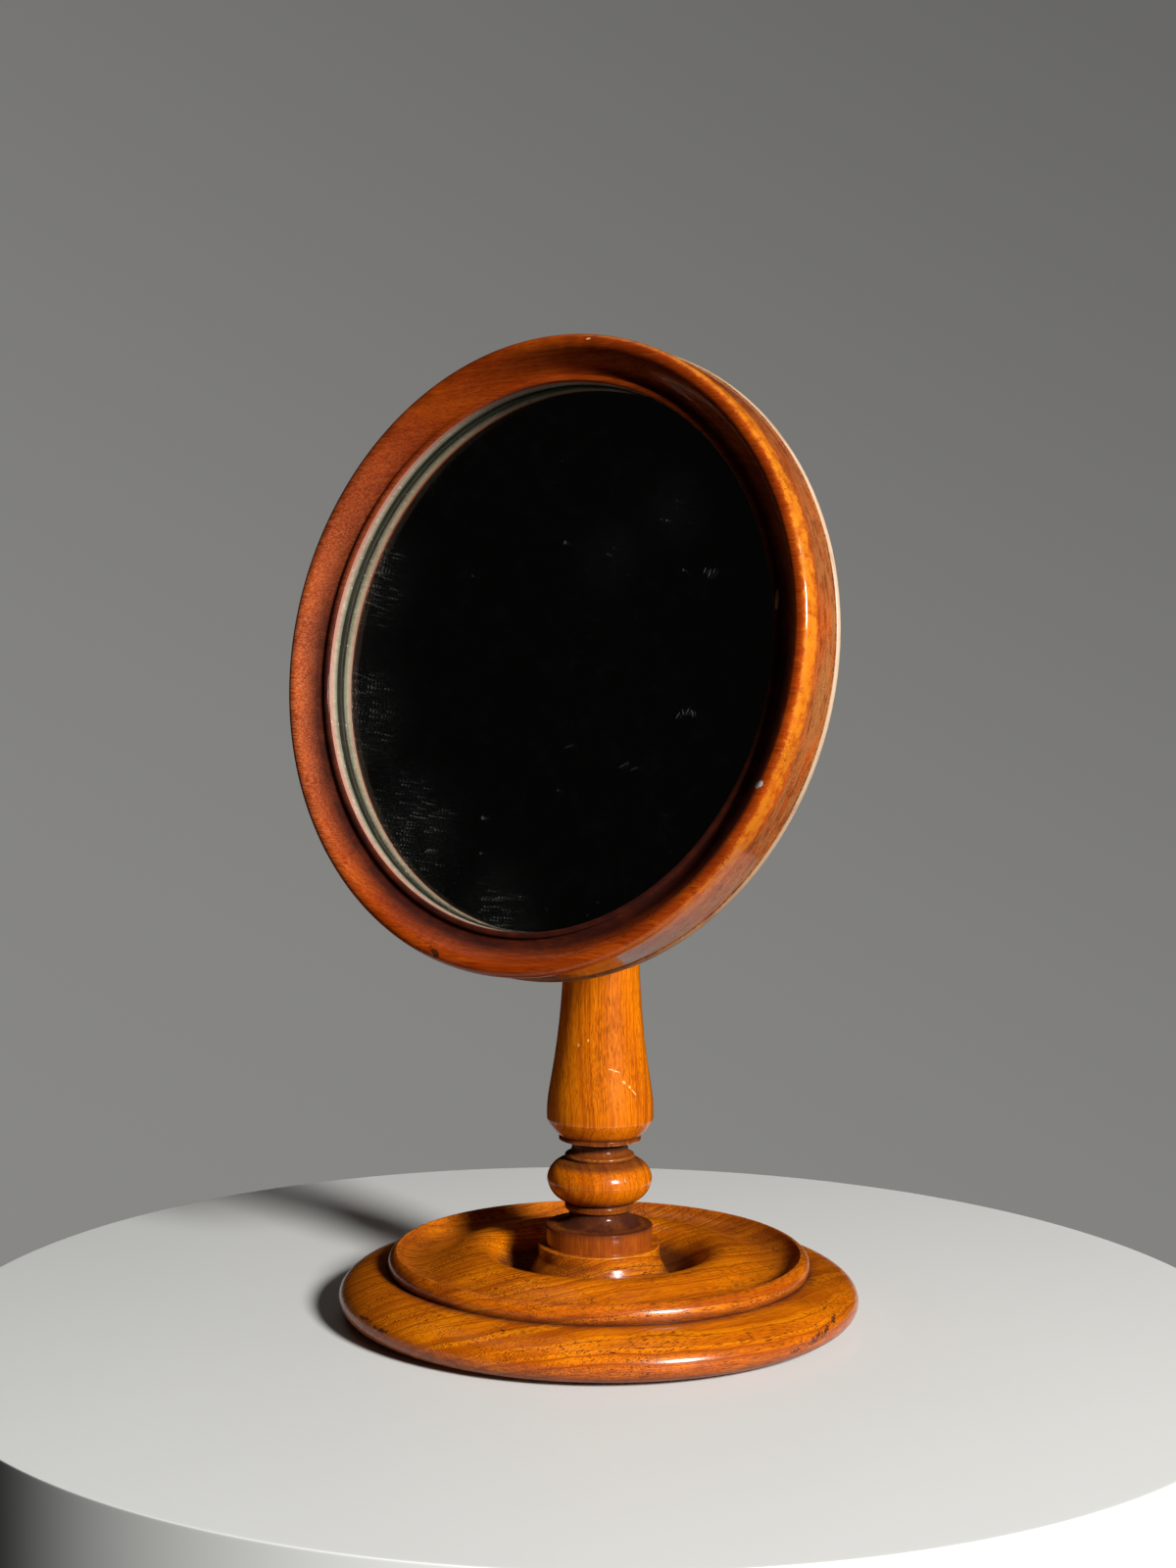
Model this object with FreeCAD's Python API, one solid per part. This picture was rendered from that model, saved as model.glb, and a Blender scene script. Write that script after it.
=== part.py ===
"""Turned table mirror: a round framed glass that tilts on a turned column with a dished base.

Millimetres. The origin is the centre of the base on the table, +Z is up and the mirror faces -Y.
The mirror is modelled in its own frame, with the pivot at the origin and +Z out of the glass.
"""
import FreeCAD, Part
import math
import os

# Base: lower tier with a rounded edge, quirk, rim bead, and a dished top around a boss
base_radius = 94.7
base_edge_height = 7.2
base_foot_inset = 7.0
quirk_height = 16.4
rim_bead_set = 2.2
rim_bead_bulge = 1.5
rim_radius = 74.2
rim_height = 22.9
rim_land = 0.7
trough_wall = 7.0
trough_height = 18.2
swell_wall = 5.5
swell_height = 23.6
well_lip_height = 22.4
well_wall = 9.5
well_height = 11.6
well_floor = 9.3
boss_margin = 2.6
boss_flare_height = 20.2
boss_height = 24.7
baize_margin = 2.2
baize_thickness = 1.2

# Column, from its tenon up to the ball head
tenon_radius = 9.0
tenon_length = 16.0
tenon_gap = 0.1
foot_disc_radius = 19.6
foot_disc_height = 7.4
foot_disc_round = 0.5
foot_disc_land = 2.6
cavetto_height = 5.2
lower_neck_radius = 11.0
lower_bead_height = 3.2
lower_bead_bulge = 1.2
bulb_seat_radius = 12.0
bulb_radius = 19.25
bulb_lower_height = 7.9
bulb_upper_height = 8.0
bulb_lower_bulge = 1.6
bulb_upper_bulge = 2.0
upper_bead_radius = 12.2
upper_bead_height = 1.9
upper_bead_bulge = 0.8
upper_neck_radius = 11.8
upper_neck_height = 5.0
upper_neck_hollow = 1.6
fillet_ring_radius = 15.0
fillet_ring_height = 1.4
vase_seat_radius = 14.5
vase_radius = 19.4
vase_rise = 6.3
vase_bulge = 0.55
vase_cheek_rise = 7.0
vase_cheek_radius = 19.25
vase_shoulder_rise = 15.0
vase_shoulder_radius = 18.05
shaft_waist_rise = 33.0
shaft_waist_radius = 15.55
shaft_mid_rise = 50.0
shaft_mid_radius = 14.2
shaft_top_radius = 11.2
collar_radius = 12.4
collar_height = 3.4
collar_bulge = 1.3
collar_seat_radius = 10.6
ball_neck_radius = 9.2
ball_neck_length = 15.0
ball_neck_hollow = 1.7
ball_radius = 14.5
ball_flat_offset = 12.0

# Pivot through the ball head
pivot_height = 233.4
rest_tilt_deg = 8.18
pivot_radius = 2.5
running_gap = 0.05
slot_floor_gap = 0.8
washer_radius = 6.8
washer_thickness = 1.0
friction_washer_radius = 7.6
friction_washer_thickness = 0.8
bolt_head_radius = 5.4
bolt_head_height = 3.0
bolt_slot_width = 1.1
bolt_slot_depth = 1.2
bolt_end_length = 1.4
nut_collar_radius = 5.2
nut_collar_length = 2.6
nut_radius = 8.2
nut_length = 6.0
nut_edge_round = 0.8
nut_flute_count = 18
nut_flute_radius = 0.9

# Hinge bracket and boss behind the mirror
tongue_thickness = 4.0
tongue_half_height = 6.0
eye_radius = 8.4
bracket_radius = 17.0
bracket_thickness = 2.5
bracket_edge_round = 0.6
tongue_fillet = 1.2
boss_pad_radius = 18.6
back_boss_radius = 24.0
back_boss_thickness = 7.0
back_boss_edge = 2.4
back_boss_hollow = 1.2
pivot_to_board = 26.2

# Frame ring, its rebate and what the rebate holds
frame_depth = 18.3
frame_front_round = 2.5
frame_back_round = 0.4
crest_land = 4.6
ogee_convex_round = 4.0
ogee_hollow_round = 4.6
ogee_fall = 6.4
ogee_slope_deg = 45.0
hollow_land = 2.5
lip_bead_width = 2.3
lip_bead_height = 0.9
lip_bead_round = 0.8
sight_radius = 96.4
rebate_gap = 1.5
rebate_depth = 7.4
slip_thickness = 1.5
slip_gap = 0.1
slip_cover = 1.0
glass_cover = 4.1
glass_thickness = 3.2
glass_edge_chamfer = 0.3
silvering_thickness = 0.2
silvering_margin = 0.5
paper_thickness = 0.6
glazing_block_count = 8
glazing_block_angle = 7.0
glazing_gap = 0.1

# Back board and the wood screws
board_overhang = 0.7
board_thickness = 3.1
board_edge_round = 1.4
board_spigot_gap = 0.2
screw_gap = 0.05
screw_slot_width = 0.8
screw_slot_depth = 0.8
screw_tip_length = 3.0
board_screw_count = 6
board_screw_head_radius = 3.2
board_screw_shank_radius = 1.6
board_screw_length = 12.0
hinge_screw_count = 4
hinge_screw_circle = 12.2
hinge_screw_head_radius = 2.9
hinge_screw_shank_radius = 1.5
hinge_screw_length = 13.0
column_screw_head_radius = 5.0
column_screw_shank_radius = 2.4
column_screw_length = 22.0

ORIGIN = FreeCAD.Vector(0, 0, 0)
X_AXIS = FreeCAD.Vector(1, 0, 0)
Y_AXIS = FreeCAD.Vector(0, 1, 0)
Z_AXIS = FreeCAD.Vector(0, 0, 1)
PIVOT = FreeCAD.Vector(0, 0, pivot_height)

# Radii of the base: edge and rim from the outside inwards, well and swell from the boss outwards
base_foot_radius = base_radius - base_foot_inset
baize_radius = base_foot_radius - baize_margin
quirk_radius = rim_radius + rim_bead_set
trough_radius = rim_radius - rim_land - trough_wall
boss_radius = foot_disc_radius + boss_margin
well_radius = boss_radius + well_floor
well_lip_radius = well_radius + well_wall
swell_radius = well_lip_radius + swell_wall
cavetto_radius = foot_disc_radius - foot_disc_land

# Radii of the mirror, from the sight edge outwards
bead_radius = sight_radius + lip_bead_width
slope_end = bead_radius + hollow_land
slope_start = slope_end + ogee_fall / math.tan(math.radians(ogee_slope_deg))
frame_radius = slope_start + crest_land
slip_seat_radius = sight_radius + slip_thickness + slip_gap
glass_radius = sight_radius + glass_cover
rebate_radius = glass_radius + rebate_gap
board_radius = frame_radius + board_overhang

# Depths along the mirror's normal, from the pivot outwards
board_front = pivot_to_board + board_thickness
crest_depth = board_front + frame_depth
hollow_depth = crest_depth - ogee_fall
bead_depth = hollow_depth + lip_bead_height
slip_front = bead_depth - slip_cover - slip_gap
shelf_depth = board_front + rebate_depth
glass_back = shelf_depth - glass_thickness
silvering_back = glass_back - silvering_thickness
paper_back = silvering_back - paper_thickness
boss_back = pivot_to_board - back_boss_thickness
bracket_back = boss_back - bracket_thickness

# Places along the pivot bolt, from the middle of the slot outwards
friction_washer_start = tongue_thickness / 2 + running_gap
slot_half_width = friction_washer_start + friction_washer_thickness + running_gap
washer_end = ball_flat_offset + washer_thickness
nut_start = washer_end + running_gap
nut_end = nut_start + nut_collar_length + nut_length
bolt_hole_radius = pivot_radius + running_gap


class Outline:
    """Half section of a turned piece: radius and height, drawn edge by edge and spun about Z."""

    def __init__(self, radius, height):
        self.start = FreeCAD.Vector(radius, 0, height)
        self.last = self.start
        self.edges = []

    def to(self, radius, height):
        """Straight edge to a point."""
        end = FreeCAD.Vector(radius, 0, height)
        self.edges.append(Part.makeLine(self.last, end))
        self.last = end
        return self

    def bow(self, radius, height, bulge):
        """Arc to a point. A positive bulge lies to the right of the way it is drawn."""
        end = FreeCAD.Vector(radius, 0, height)
        along = (end - self.last).normalize()
        side = FreeCAD.Vector(along.z, 0, -along.x)
        middle = (self.last + end) * 0.5 + side * bulge
        self.edges.append(Part.Arc(self.last, middle, end).toShape())
        self.last = end
        return self

    def through(self, points):
        """Smooth curve through a few points."""
        poles = [self.last] + [FreeCAD.Vector(radius, 0, height) for radius, height in points]
        curve = Part.BSplineCurve()
        curve.interpolate(poles)
        self.edges.append(curve.toShape())
        self.last = poles[-1]
        return self

    def quarter(self, radius, height, across_first):
        """Quarter of an ellipse to a point, leaving level or upright."""
        start = self.last
        end = FreeCAD.Vector(radius, 0, height)
        corner = FreeCAD.Vector(end.x, 0, start.z) if across_first else FreeCAD.Vector(start.x, 0, end.z)
        centre = start + end - corner
        middle = centre + (start - centre + end - centre) * math.sqrt(0.5)
        curve = Part.BSplineCurve()
        curve.interpolate([start, middle, end], InitialTangent=corner - start, FinalTangent=end - corner)
        self.edges.append(curve.toShape())
        self.last = end
        return self

    def spin(self, angle=360.0):
        """Close the outline and spin it into a solid."""
        if (self.last - self.start).Length > 1e-6:
            self.edges.append(Part.makeLine(self.last, self.start))
        return Part.Face(Part.Wire(self.edges)).revolve(ORIGIN, Z_AXIS, angle)


def rounded(corners):
    """Outline of straight edges whose corners (radius, height, round) are rounded by tangent arcs."""
    spots = [FreeCAD.Vector(radius, 0, height) for radius, height, fillet in corners]
    stations = []
    for index, (spot, corner) in enumerate(zip(spots, corners)):
        fillet = corner[2]
        before = (spots[index - 1] - spot).normalize()
        after = (spots[(index + 1) % len(spots)] - spot).normalize()
        half = before.getAngle(after) / 2
        reach = fillet / math.tan(half)
        bulge = fillet * (1 - math.sin(half))
        turn = before.cross(after).y
        stations.append((spot + before * reach, spot + after * reach, math.copysign(bulge, turn), fillet))
    outline = Outline(stations[0][1].x, stations[0][1].z)
    for enter, leave, bulge, fillet in stations[1:] + stations[:1]:
        outline.to(enter.x, enter.z)
        if fillet > 0:
            outline.bow(leave.x, leave.z, bulge)
    return outline


def disc(radius, low, high):
    """Plain disc about Z between two heights."""
    return Part.makeCylinder(radius, high - low, FreeCAD.Vector(0, 0, low))


def rod_x(radius, low, high):
    """Round bar along X through the local origin."""
    return Part.makeCylinder(radius, high - low, FreeCAD.Vector(low, 0, 0), X_AXIS)


def around(shape, count, start_deg=0.0):
    """Copies of a shape, evenly turned about Z."""
    copies = []
    for index in range(count):
        copy = shape.copy()
        copy.rotate(ORIGIN, Z_AXIS, start_deg + index * 360.0 / count)
        copies.append(copy)
    return copies


def wood_screw(head_radius, shank_radius, length, gap=0.0):
    """Countersunk screw along +Z with its flat head at the origin, or its hole when a gap is given."""
    neck = head_radius - shank_radius
    shape = (
        Outline(0, 0)
        .to(head_radius + gap, 0)
        .to(shank_radius + gap, neck)
        .to(shank_radius + gap, length - screw_tip_length)
        .to(shank_radius / 3 + gap, length + gap)
        .to(0, length + gap)
        .spin()
    )
    if gap > 0:
        return shape
    slot = Part.makeBox(
        3 * head_radius,
        screw_slot_width,
        screw_slot_depth,
        FreeCAD.Vector(-1.5 * head_radius, -screw_slot_width / 2, 0),
    )
    return shape.cut(slot)


def tilted(shape):
    """Move a piece from the mirror's own frame to its place on the stand."""
    placed = shape.copy()
    placed.rotate(ORIGIN, X_AXIS, 90.0 - rest_tilt_deg)
    placed.translate(PIVOT)
    return placed


def at_pivot(shape):
    """Move a piece of the pivot from its own frame to the ball head."""
    placed = shape.copy()
    placed.translate(PIVOT)
    return placed


def base_disc():
    """Turned base with its mortise for the column and its screw hole."""
    low = baize_thickness
    mortise_floor = boss_height - tenon_length - tenon_gap
    shape = (
        Outline(0, low)
        .to(base_foot_radius, low)
        .quarter(base_radius, base_edge_height, True)
        .quarter(quirk_radius, quirk_height, False)
        .bow(rim_radius, rim_height, rim_bead_bulge)
        .to(rim_radius - rim_land, rim_height)
        .through(
            [
                (trough_radius, trough_height),
                (swell_radius, swell_height),
                (well_lip_radius, well_lip_height),
                (well_radius, well_height),
                (boss_radius, boss_flare_height),
            ]
        )
        .to(boss_radius, boss_height)
        .to(0, boss_height)
        .spin()
    )
    mortise = disc(tenon_radius + tenon_gap, mortise_floor, boss_height)
    hole = column_screw(screw_gap)
    return shape.cut(mortise).cut(hole)


def base_baize():
    """Cloth disc under the base."""
    return disc(baize_radius, 0, baize_thickness)


def column_screw(gap=0.0):
    """Screw that draws the tenon into its mortise, or its hole."""
    screw = wood_screw(column_screw_head_radius, column_screw_shank_radius, column_screw_length, gap)
    screw.translate(FreeCAD.Vector(0, 0, baize_thickness))
    return screw


def column():
    """Turned column: foot disc, cavetto, beads, bulb, neck, vase-shaped shaft and slotted ball head."""
    tenon_end = boss_height - tenon_length
    foot_top = boss_height + foot_disc_height
    cavetto_top = foot_top + cavetto_height
    bulb_start = cavetto_top + lower_bead_height
    bulb_middle = bulb_start + bulb_lower_height
    bulb_end = bulb_middle + bulb_upper_height
    upper_bead_end = bulb_end + upper_bead_height
    neck_end = upper_bead_end + upper_neck_height
    vase_start = neck_end + fillet_ring_height
    vase_widest = vase_start + vase_rise
    ball_start = pivot_height - math.sqrt(ball_radius**2 - ball_neck_radius**2)
    collar_top = ball_start - ball_neck_length
    shaft_top = collar_top - collar_height
    shape = (
        Outline(0, tenon_end)
        .to(tenon_radius, tenon_end)
        .to(tenon_radius, boss_height)
        .to(foot_disc_radius, boss_height)
        .to(foot_disc_radius, foot_top - foot_disc_round)
        .quarter(foot_disc_radius - foot_disc_round, foot_top, False)
        .to(cavetto_radius, foot_top)
        .quarter(lower_neck_radius, cavetto_top, True)
        .bow(bulb_seat_radius, bulb_start, lower_bead_bulge)
        .bow(bulb_radius, bulb_middle, bulb_lower_bulge)
        .bow(upper_bead_radius, bulb_end, bulb_upper_bulge)
        .bow(upper_neck_radius, upper_bead_end, upper_bead_bulge)
        .bow(upper_neck_radius, neck_end, -upper_neck_hollow)
        .to(fillet_ring_radius, neck_end)
        .to(fillet_ring_radius, vase_start)
        .to(vase_seat_radius, vase_start)
        .bow(vase_radius, vase_widest, vase_bulge)
        .through(
            [
                (vase_cheek_radius, vase_widest + vase_cheek_rise),
                (vase_shoulder_radius, vase_widest + vase_shoulder_rise),
                (shaft_waist_radius, vase_widest + shaft_waist_rise),
                (shaft_mid_radius, vase_widest + shaft_mid_rise),
                (shaft_top_radius, shaft_top),
            ]
        )
        .to(collar_radius, shaft_top)
        .bow(collar_radius, collar_top, collar_bulge)
        .to(collar_seat_radius, collar_top)
        .bow(ball_neck_radius, ball_start, -ball_neck_hollow)
        .to(0, ball_start)
        .spin()
    )
    ball = Part.makeSphere(ball_radius, PIVOT)
    slot_floor = eye_radius + slot_floor_gap
    reach = 2 * ball_radius
    slot = Part.makeBox(
        2 * slot_half_width,
        2 * reach,
        reach,
        FreeCAD.Vector(-slot_half_width, -reach, pivot_height - slot_floor),
    )
    shape = shape.fuse(ball).cut(slot)
    for side in (-1, 1):
        start = side * ball_flat_offset
        flat = rod_x(reach, min(start, 2 * start), max(start, 2 * start))
        shape = shape.cut(at_pivot(flat))
    shape = shape.cut(at_pivot(rod_x(bolt_hole_radius, -reach, reach)))
    return shape.cut(column_screw(screw_gap)).removeSplitter()


def pivot_bolt():
    """Bolt with a domed slotted head on one cheek and a rounded end beyond the nut."""
    shape = (
        Outline(0, -washer_end - bolt_head_height)
        .quarter(bolt_head_radius, -washer_end, True)
        .to(pivot_radius, -washer_end)
        .to(pivot_radius, nut_end)
        .quarter(0, nut_end + bolt_end_length, False)
        .spin()
    )
    slot = Part.makeBox(
        bolt_slot_width,
        3 * bolt_head_radius,
        bolt_slot_depth,
        FreeCAD.Vector(-bolt_slot_width / 2, -1.5 * bolt_head_radius, -washer_end - bolt_head_height),
    )
    shape = shape.cut(slot)
    shape.rotate(ORIGIN, Y_AXIS, 90)
    return at_pivot(shape)


def cheek_washers():
    """Washers under the bolt head and under the nut."""
    washers = []
    for low, high in ((-washer_end, -ball_flat_offset), (ball_flat_offset, washer_end)):
        ring = rod_x(washer_radius, low, high).cut(rod_x(bolt_hole_radius, low, high))
        washers.append(at_pivot(ring))
    return Part.makeCompound(washers)


def friction_washers():
    """Leather washers in the slot, one each side of the tongue."""
    inner = friction_washer_start
    outer = inner + friction_washer_thickness
    washers = []
    for low, high in ((-outer, -inner), (inner, outer)):
        ring = rod_x(friction_washer_radius, low, high).cut(rod_x(bolt_hole_radius, low, high))
        washers.append(at_pivot(ring))
    return Part.makeCompound(washers)


def thumb_nut():
    """Thumb nut with a plain collar and a fluted grip."""
    grip_start = nut_start + nut_collar_length
    shape = rounded(
        [
            (bolt_hole_radius, nut_start, 0),
            (nut_collar_radius, nut_start, 0),
            (nut_collar_radius, grip_start, 0),
            (nut_radius, grip_start, nut_edge_round),
            (nut_radius, nut_end, nut_edge_round),
            (bolt_hole_radius, nut_end, 0),
        ]
    ).spin()
    flute = Part.makeCylinder(nut_flute_radius, nut_length, FreeCAD.Vector(nut_radius, 0, grip_start))
    shape = shape.cut(around(flute, nut_flute_count))
    shape.rotate(ORIGIN, Y_AXIS, 90)
    return at_pivot(shape)


def board_screw_places(shape):
    """Copies of a screw or hole at the places round the edge of the back board."""
    placed = shape.copy()
    placed.translate(FreeCAD.Vector((rebate_radius + frame_radius) / 2, 0, pivot_to_board))
    return around(placed, board_screw_count, 180.0 / board_screw_count)


def hinge_screw_places(shape):
    """Copies of a screw or hole at the places on the hinge bracket."""
    placed = shape.copy()
    placed.translate(FreeCAD.Vector(hinge_screw_circle, 0, bracket_back))
    return around(placed, hinge_screw_count, 180.0 / hinge_screw_count)


def board_screw(gap=0.0):
    """Screw of the back board, or its hole."""
    return wood_screw(board_screw_head_radius, board_screw_shank_radius, board_screw_length, gap)


def hinge_screw(gap=0.0):
    """Screw of the hinge bracket, or its hole."""
    return wood_screw(hinge_screw_head_radius, hinge_screw_shank_radius, hinge_screw_length, gap)


def frame_ring():
    """Turned frame: rounded outer edge, ogee face, bead at the sight edge, slip seat and rebate."""
    shape = rounded(
        [
            (rebate_radius, board_front, 0),
            (frame_radius, board_front, frame_back_round),
            (frame_radius, crest_depth, frame_front_round),
            (slope_start, crest_depth, ogee_convex_round),
            (slope_end, hollow_depth, ogee_hollow_round),
            (bead_radius, hollow_depth, 0),
            (bead_radius, bead_depth, lip_bead_round),
            (sight_radius, bead_depth, lip_bead_round),
            (sight_radius, bead_depth - slip_cover, 0),
            (slip_seat_radius, bead_depth - slip_cover, 0),
            (slip_seat_radius, shelf_depth, 0),
            (rebate_radius, shelf_depth, 0),
        ]
    ).spin()
    return tilted(shape.cut(board_screw_places(board_screw(screw_gap))))


def sight_slip():
    """Slip ring that lines the sight edge in front of the glass."""
    ring = disc(sight_radius + slip_thickness, shelf_depth, slip_front)
    return tilted(ring.cut(disc(sight_radius, shelf_depth, slip_front)))


def mirror_glass():
    """Round glass plate with its edges just broken."""
    plate = rounded(
        [
            (0, glass_back, 0),
            (glass_radius, glass_back, glass_edge_chamfer),
            (glass_radius, shelf_depth, glass_edge_chamfer),
            (0, shelf_depth, 0),
        ]
    )
    return tilted(plate.spin())


def silvering():
    """Metal coat behind the glass."""
    return tilted(disc(glass_radius - silvering_margin, silvering_back, glass_back))


def backing_paper():
    """Paper between the silvering and the back board."""
    return tilted(disc(glass_radius, paper_back, silvering_back))


def glazing_blocks():
    """Wooden blocks that centre the glass in the rebate."""
    inner = glass_radius + glazing_gap
    outer = rebate_radius - glazing_gap
    block = (
        Outline(inner, glass_back)
        .to(outer, glass_back)
        .to(outer, shelf_depth)
        .to(inner, shelf_depth)
        .spin(glazing_block_angle)
    )
    return tilted(Part.makeCompound(around(block, glazing_block_count)))


def back_board():
    """Stepped back board: a spigot in the rebate and a rounded flange behind the frame."""
    spigot_radius = rebate_radius - board_spigot_gap
    shape = rounded(
        [
            (0, pivot_to_board, 0),
            (board_radius, pivot_to_board, board_edge_round),
            (board_radius, board_front, board_edge_round),
            (spigot_radius, board_front, 0),
            (spigot_radius, paper_back, 0),
            (0, paper_back, 0),
        ]
    ).spin()
    holes = board_screw_places(board_screw(screw_gap)) + hinge_screw_places(hinge_screw(screw_gap))
    return tilted(shape.cut(holes))


def back_board_screws():
    """Screws round the edge of the back board."""
    return tilted(Part.makeCompound(board_screw_places(board_screw())))


def back_boss():
    """Turned boss between the back board and the hinge bracket."""
    shape = (
        Outline(0, boss_back)
        .to(boss_pad_radius, boss_back)
        .bow(back_boss_radius - back_boss_edge / 2, pivot_to_board - back_boss_edge, -back_boss_hollow)
        .bow(back_boss_radius - back_boss_edge / 2, pivot_to_board, back_boss_edge / 2)
        .to(0, pivot_to_board)
        .spin()
    )
    return tilted(shape.cut(hinge_screw_places(hinge_screw(screw_gap))))


def hinge_bracket():
    """Round plate with a tongue and an eye for the pivot bolt."""
    plate = rounded(
        [
            (0, bracket_back, 0),
            (bracket_radius, bracket_back, bracket_edge_round),
            (bracket_radius, boss_back, 0),
            (0, boss_back, 0),
        ]
    ).spin()
    tongue = Part.makeBox(
        tongue_thickness,
        2 * tongue_half_height,
        bracket_back + bracket_thickness / 2,
        FreeCAD.Vector(-tongue_thickness / 2, -tongue_half_height, 0),
    )
    eye = rod_x(eye_radius, -tongue_thickness / 2, tongue_thickness / 2)
    shape = plate.fuse([tongue, eye]).removeSplitter()
    roots = []
    for edge in shape.Edges:
        box = edge.BoundBox
        level = abs(box.ZMin - bracket_back) < 1e-4 and abs(box.ZMax - bracket_back) < 1e-4
        if level and box.XMax < tongue_thickness and abs(box.YMax) < tongue_half_height + tongue_fillet:
            roots.append(edge)
    shape = shape.makeFillet(tongue_fillet, roots)
    shape = shape.cut(rod_x(bolt_hole_radius, -tongue_thickness, tongue_thickness))
    return tilted(shape.cut(hinge_screw_places(hinge_screw(screw_gap))))


def hinge_screws():
    """Screws of the hinge bracket, through the boss into the back board."""
    return tilted(Part.makeCompound(hinge_screw_places(hinge_screw())))


PIECES = (
    base_disc,
    base_baize,
    column,
    column_screw,
    pivot_bolt,
    cheek_washers,
    friction_washers,
    thumb_nut,
    frame_ring,
    sight_slip,
    mirror_glass,
    silvering,
    backing_paper,
    glazing_blocks,
    back_board,
    back_board_screws,
    back_boss,
    hinge_bracket,
    hinge_screws,
)

os.makedirs("parts", exist_ok=True)
for piece in PIECES:
    solid = piece()
    solid.exportStep(f"parts/{piece.__name__}.step")
    print(piece.__name__, "solids", len(solid.Solids), "volume", round(solid.Volume, 1), solid.isValid())
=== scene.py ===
"""Looks of a turned table mirror: a round framed glass that tilts on a turned column with a dished base.

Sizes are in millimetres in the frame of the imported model. Blender's own units are metres.
"""
import logging
import math
from dataclasses import dataclass
from enum import Enum
from typing import Optional, Sequence, Union

import bpy
import numpy as np
from mathutils import Matrix, Vector


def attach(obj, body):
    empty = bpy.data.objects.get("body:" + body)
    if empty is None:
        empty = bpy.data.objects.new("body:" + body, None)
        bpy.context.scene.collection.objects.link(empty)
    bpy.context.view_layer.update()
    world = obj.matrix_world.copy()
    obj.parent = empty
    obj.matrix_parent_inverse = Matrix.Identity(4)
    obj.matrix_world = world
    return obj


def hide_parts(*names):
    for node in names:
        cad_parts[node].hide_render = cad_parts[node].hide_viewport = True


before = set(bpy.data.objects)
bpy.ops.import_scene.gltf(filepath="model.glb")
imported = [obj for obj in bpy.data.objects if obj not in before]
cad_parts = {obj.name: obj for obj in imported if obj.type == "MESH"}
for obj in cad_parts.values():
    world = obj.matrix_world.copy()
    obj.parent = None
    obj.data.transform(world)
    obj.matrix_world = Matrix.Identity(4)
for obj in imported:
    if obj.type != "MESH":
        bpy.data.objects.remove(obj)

LOG = logging.getLogger("table_mirror")
MM = 0.001
TINY = 1e-9
ON_AXIS = 1e-4
PIVOT_HEIGHT = 233.4
REST_TILT = math.radians(8.18)
SHADES = ("wear", "grime", "fade")
RADIUS, HEIGHT, WEAR, GRIME, FADE = range(5)
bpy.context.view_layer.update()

Socket = bpy.types.NodeSocket
Value = Union[float, Socket]
Triple = tuple[float, float, float]
Pair = tuple[float, float]
Paint = Union[Triple, Socket]
Input = Union[Value, Paint, Sequence[float]]
Key = Union[int, str]
Band = tuple[Pair, Pair, float]

AT_PIVOT = Matrix.Translation((0.0, 0.0, PIVOT_HEIGHT))
MIRROR_PLACE = AT_PIVOT @ Matrix.Rotation(math.pi / 2 - REST_TILT, 4, "X")
PIVOT_PLACE = AT_PIVOT @ Matrix.Rotation(math.pi / 2, 4, "Y")


class Body(Enum):
    """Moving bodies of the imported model."""

    STAND = "stand"
    MIRROR = "mirror"
    NUT = "nut"


class Slot(Enum):
    """Material slots of the record."""

    TURNED = "turned_mahogany"
    SLIP = "pale_slip"
    BRASS = "brass"
    LEATHER = "leather"
    BAIZE = "baize"
    SILVER = "silver"


def between(values: np.ndarray, start: float, end: float) -> np.ndarray:
    """Return how far numbers lie on the way from a start to an end, from 0 to 1."""
    return np.clip((values - start) / (end - start), 0, 1)


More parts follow.
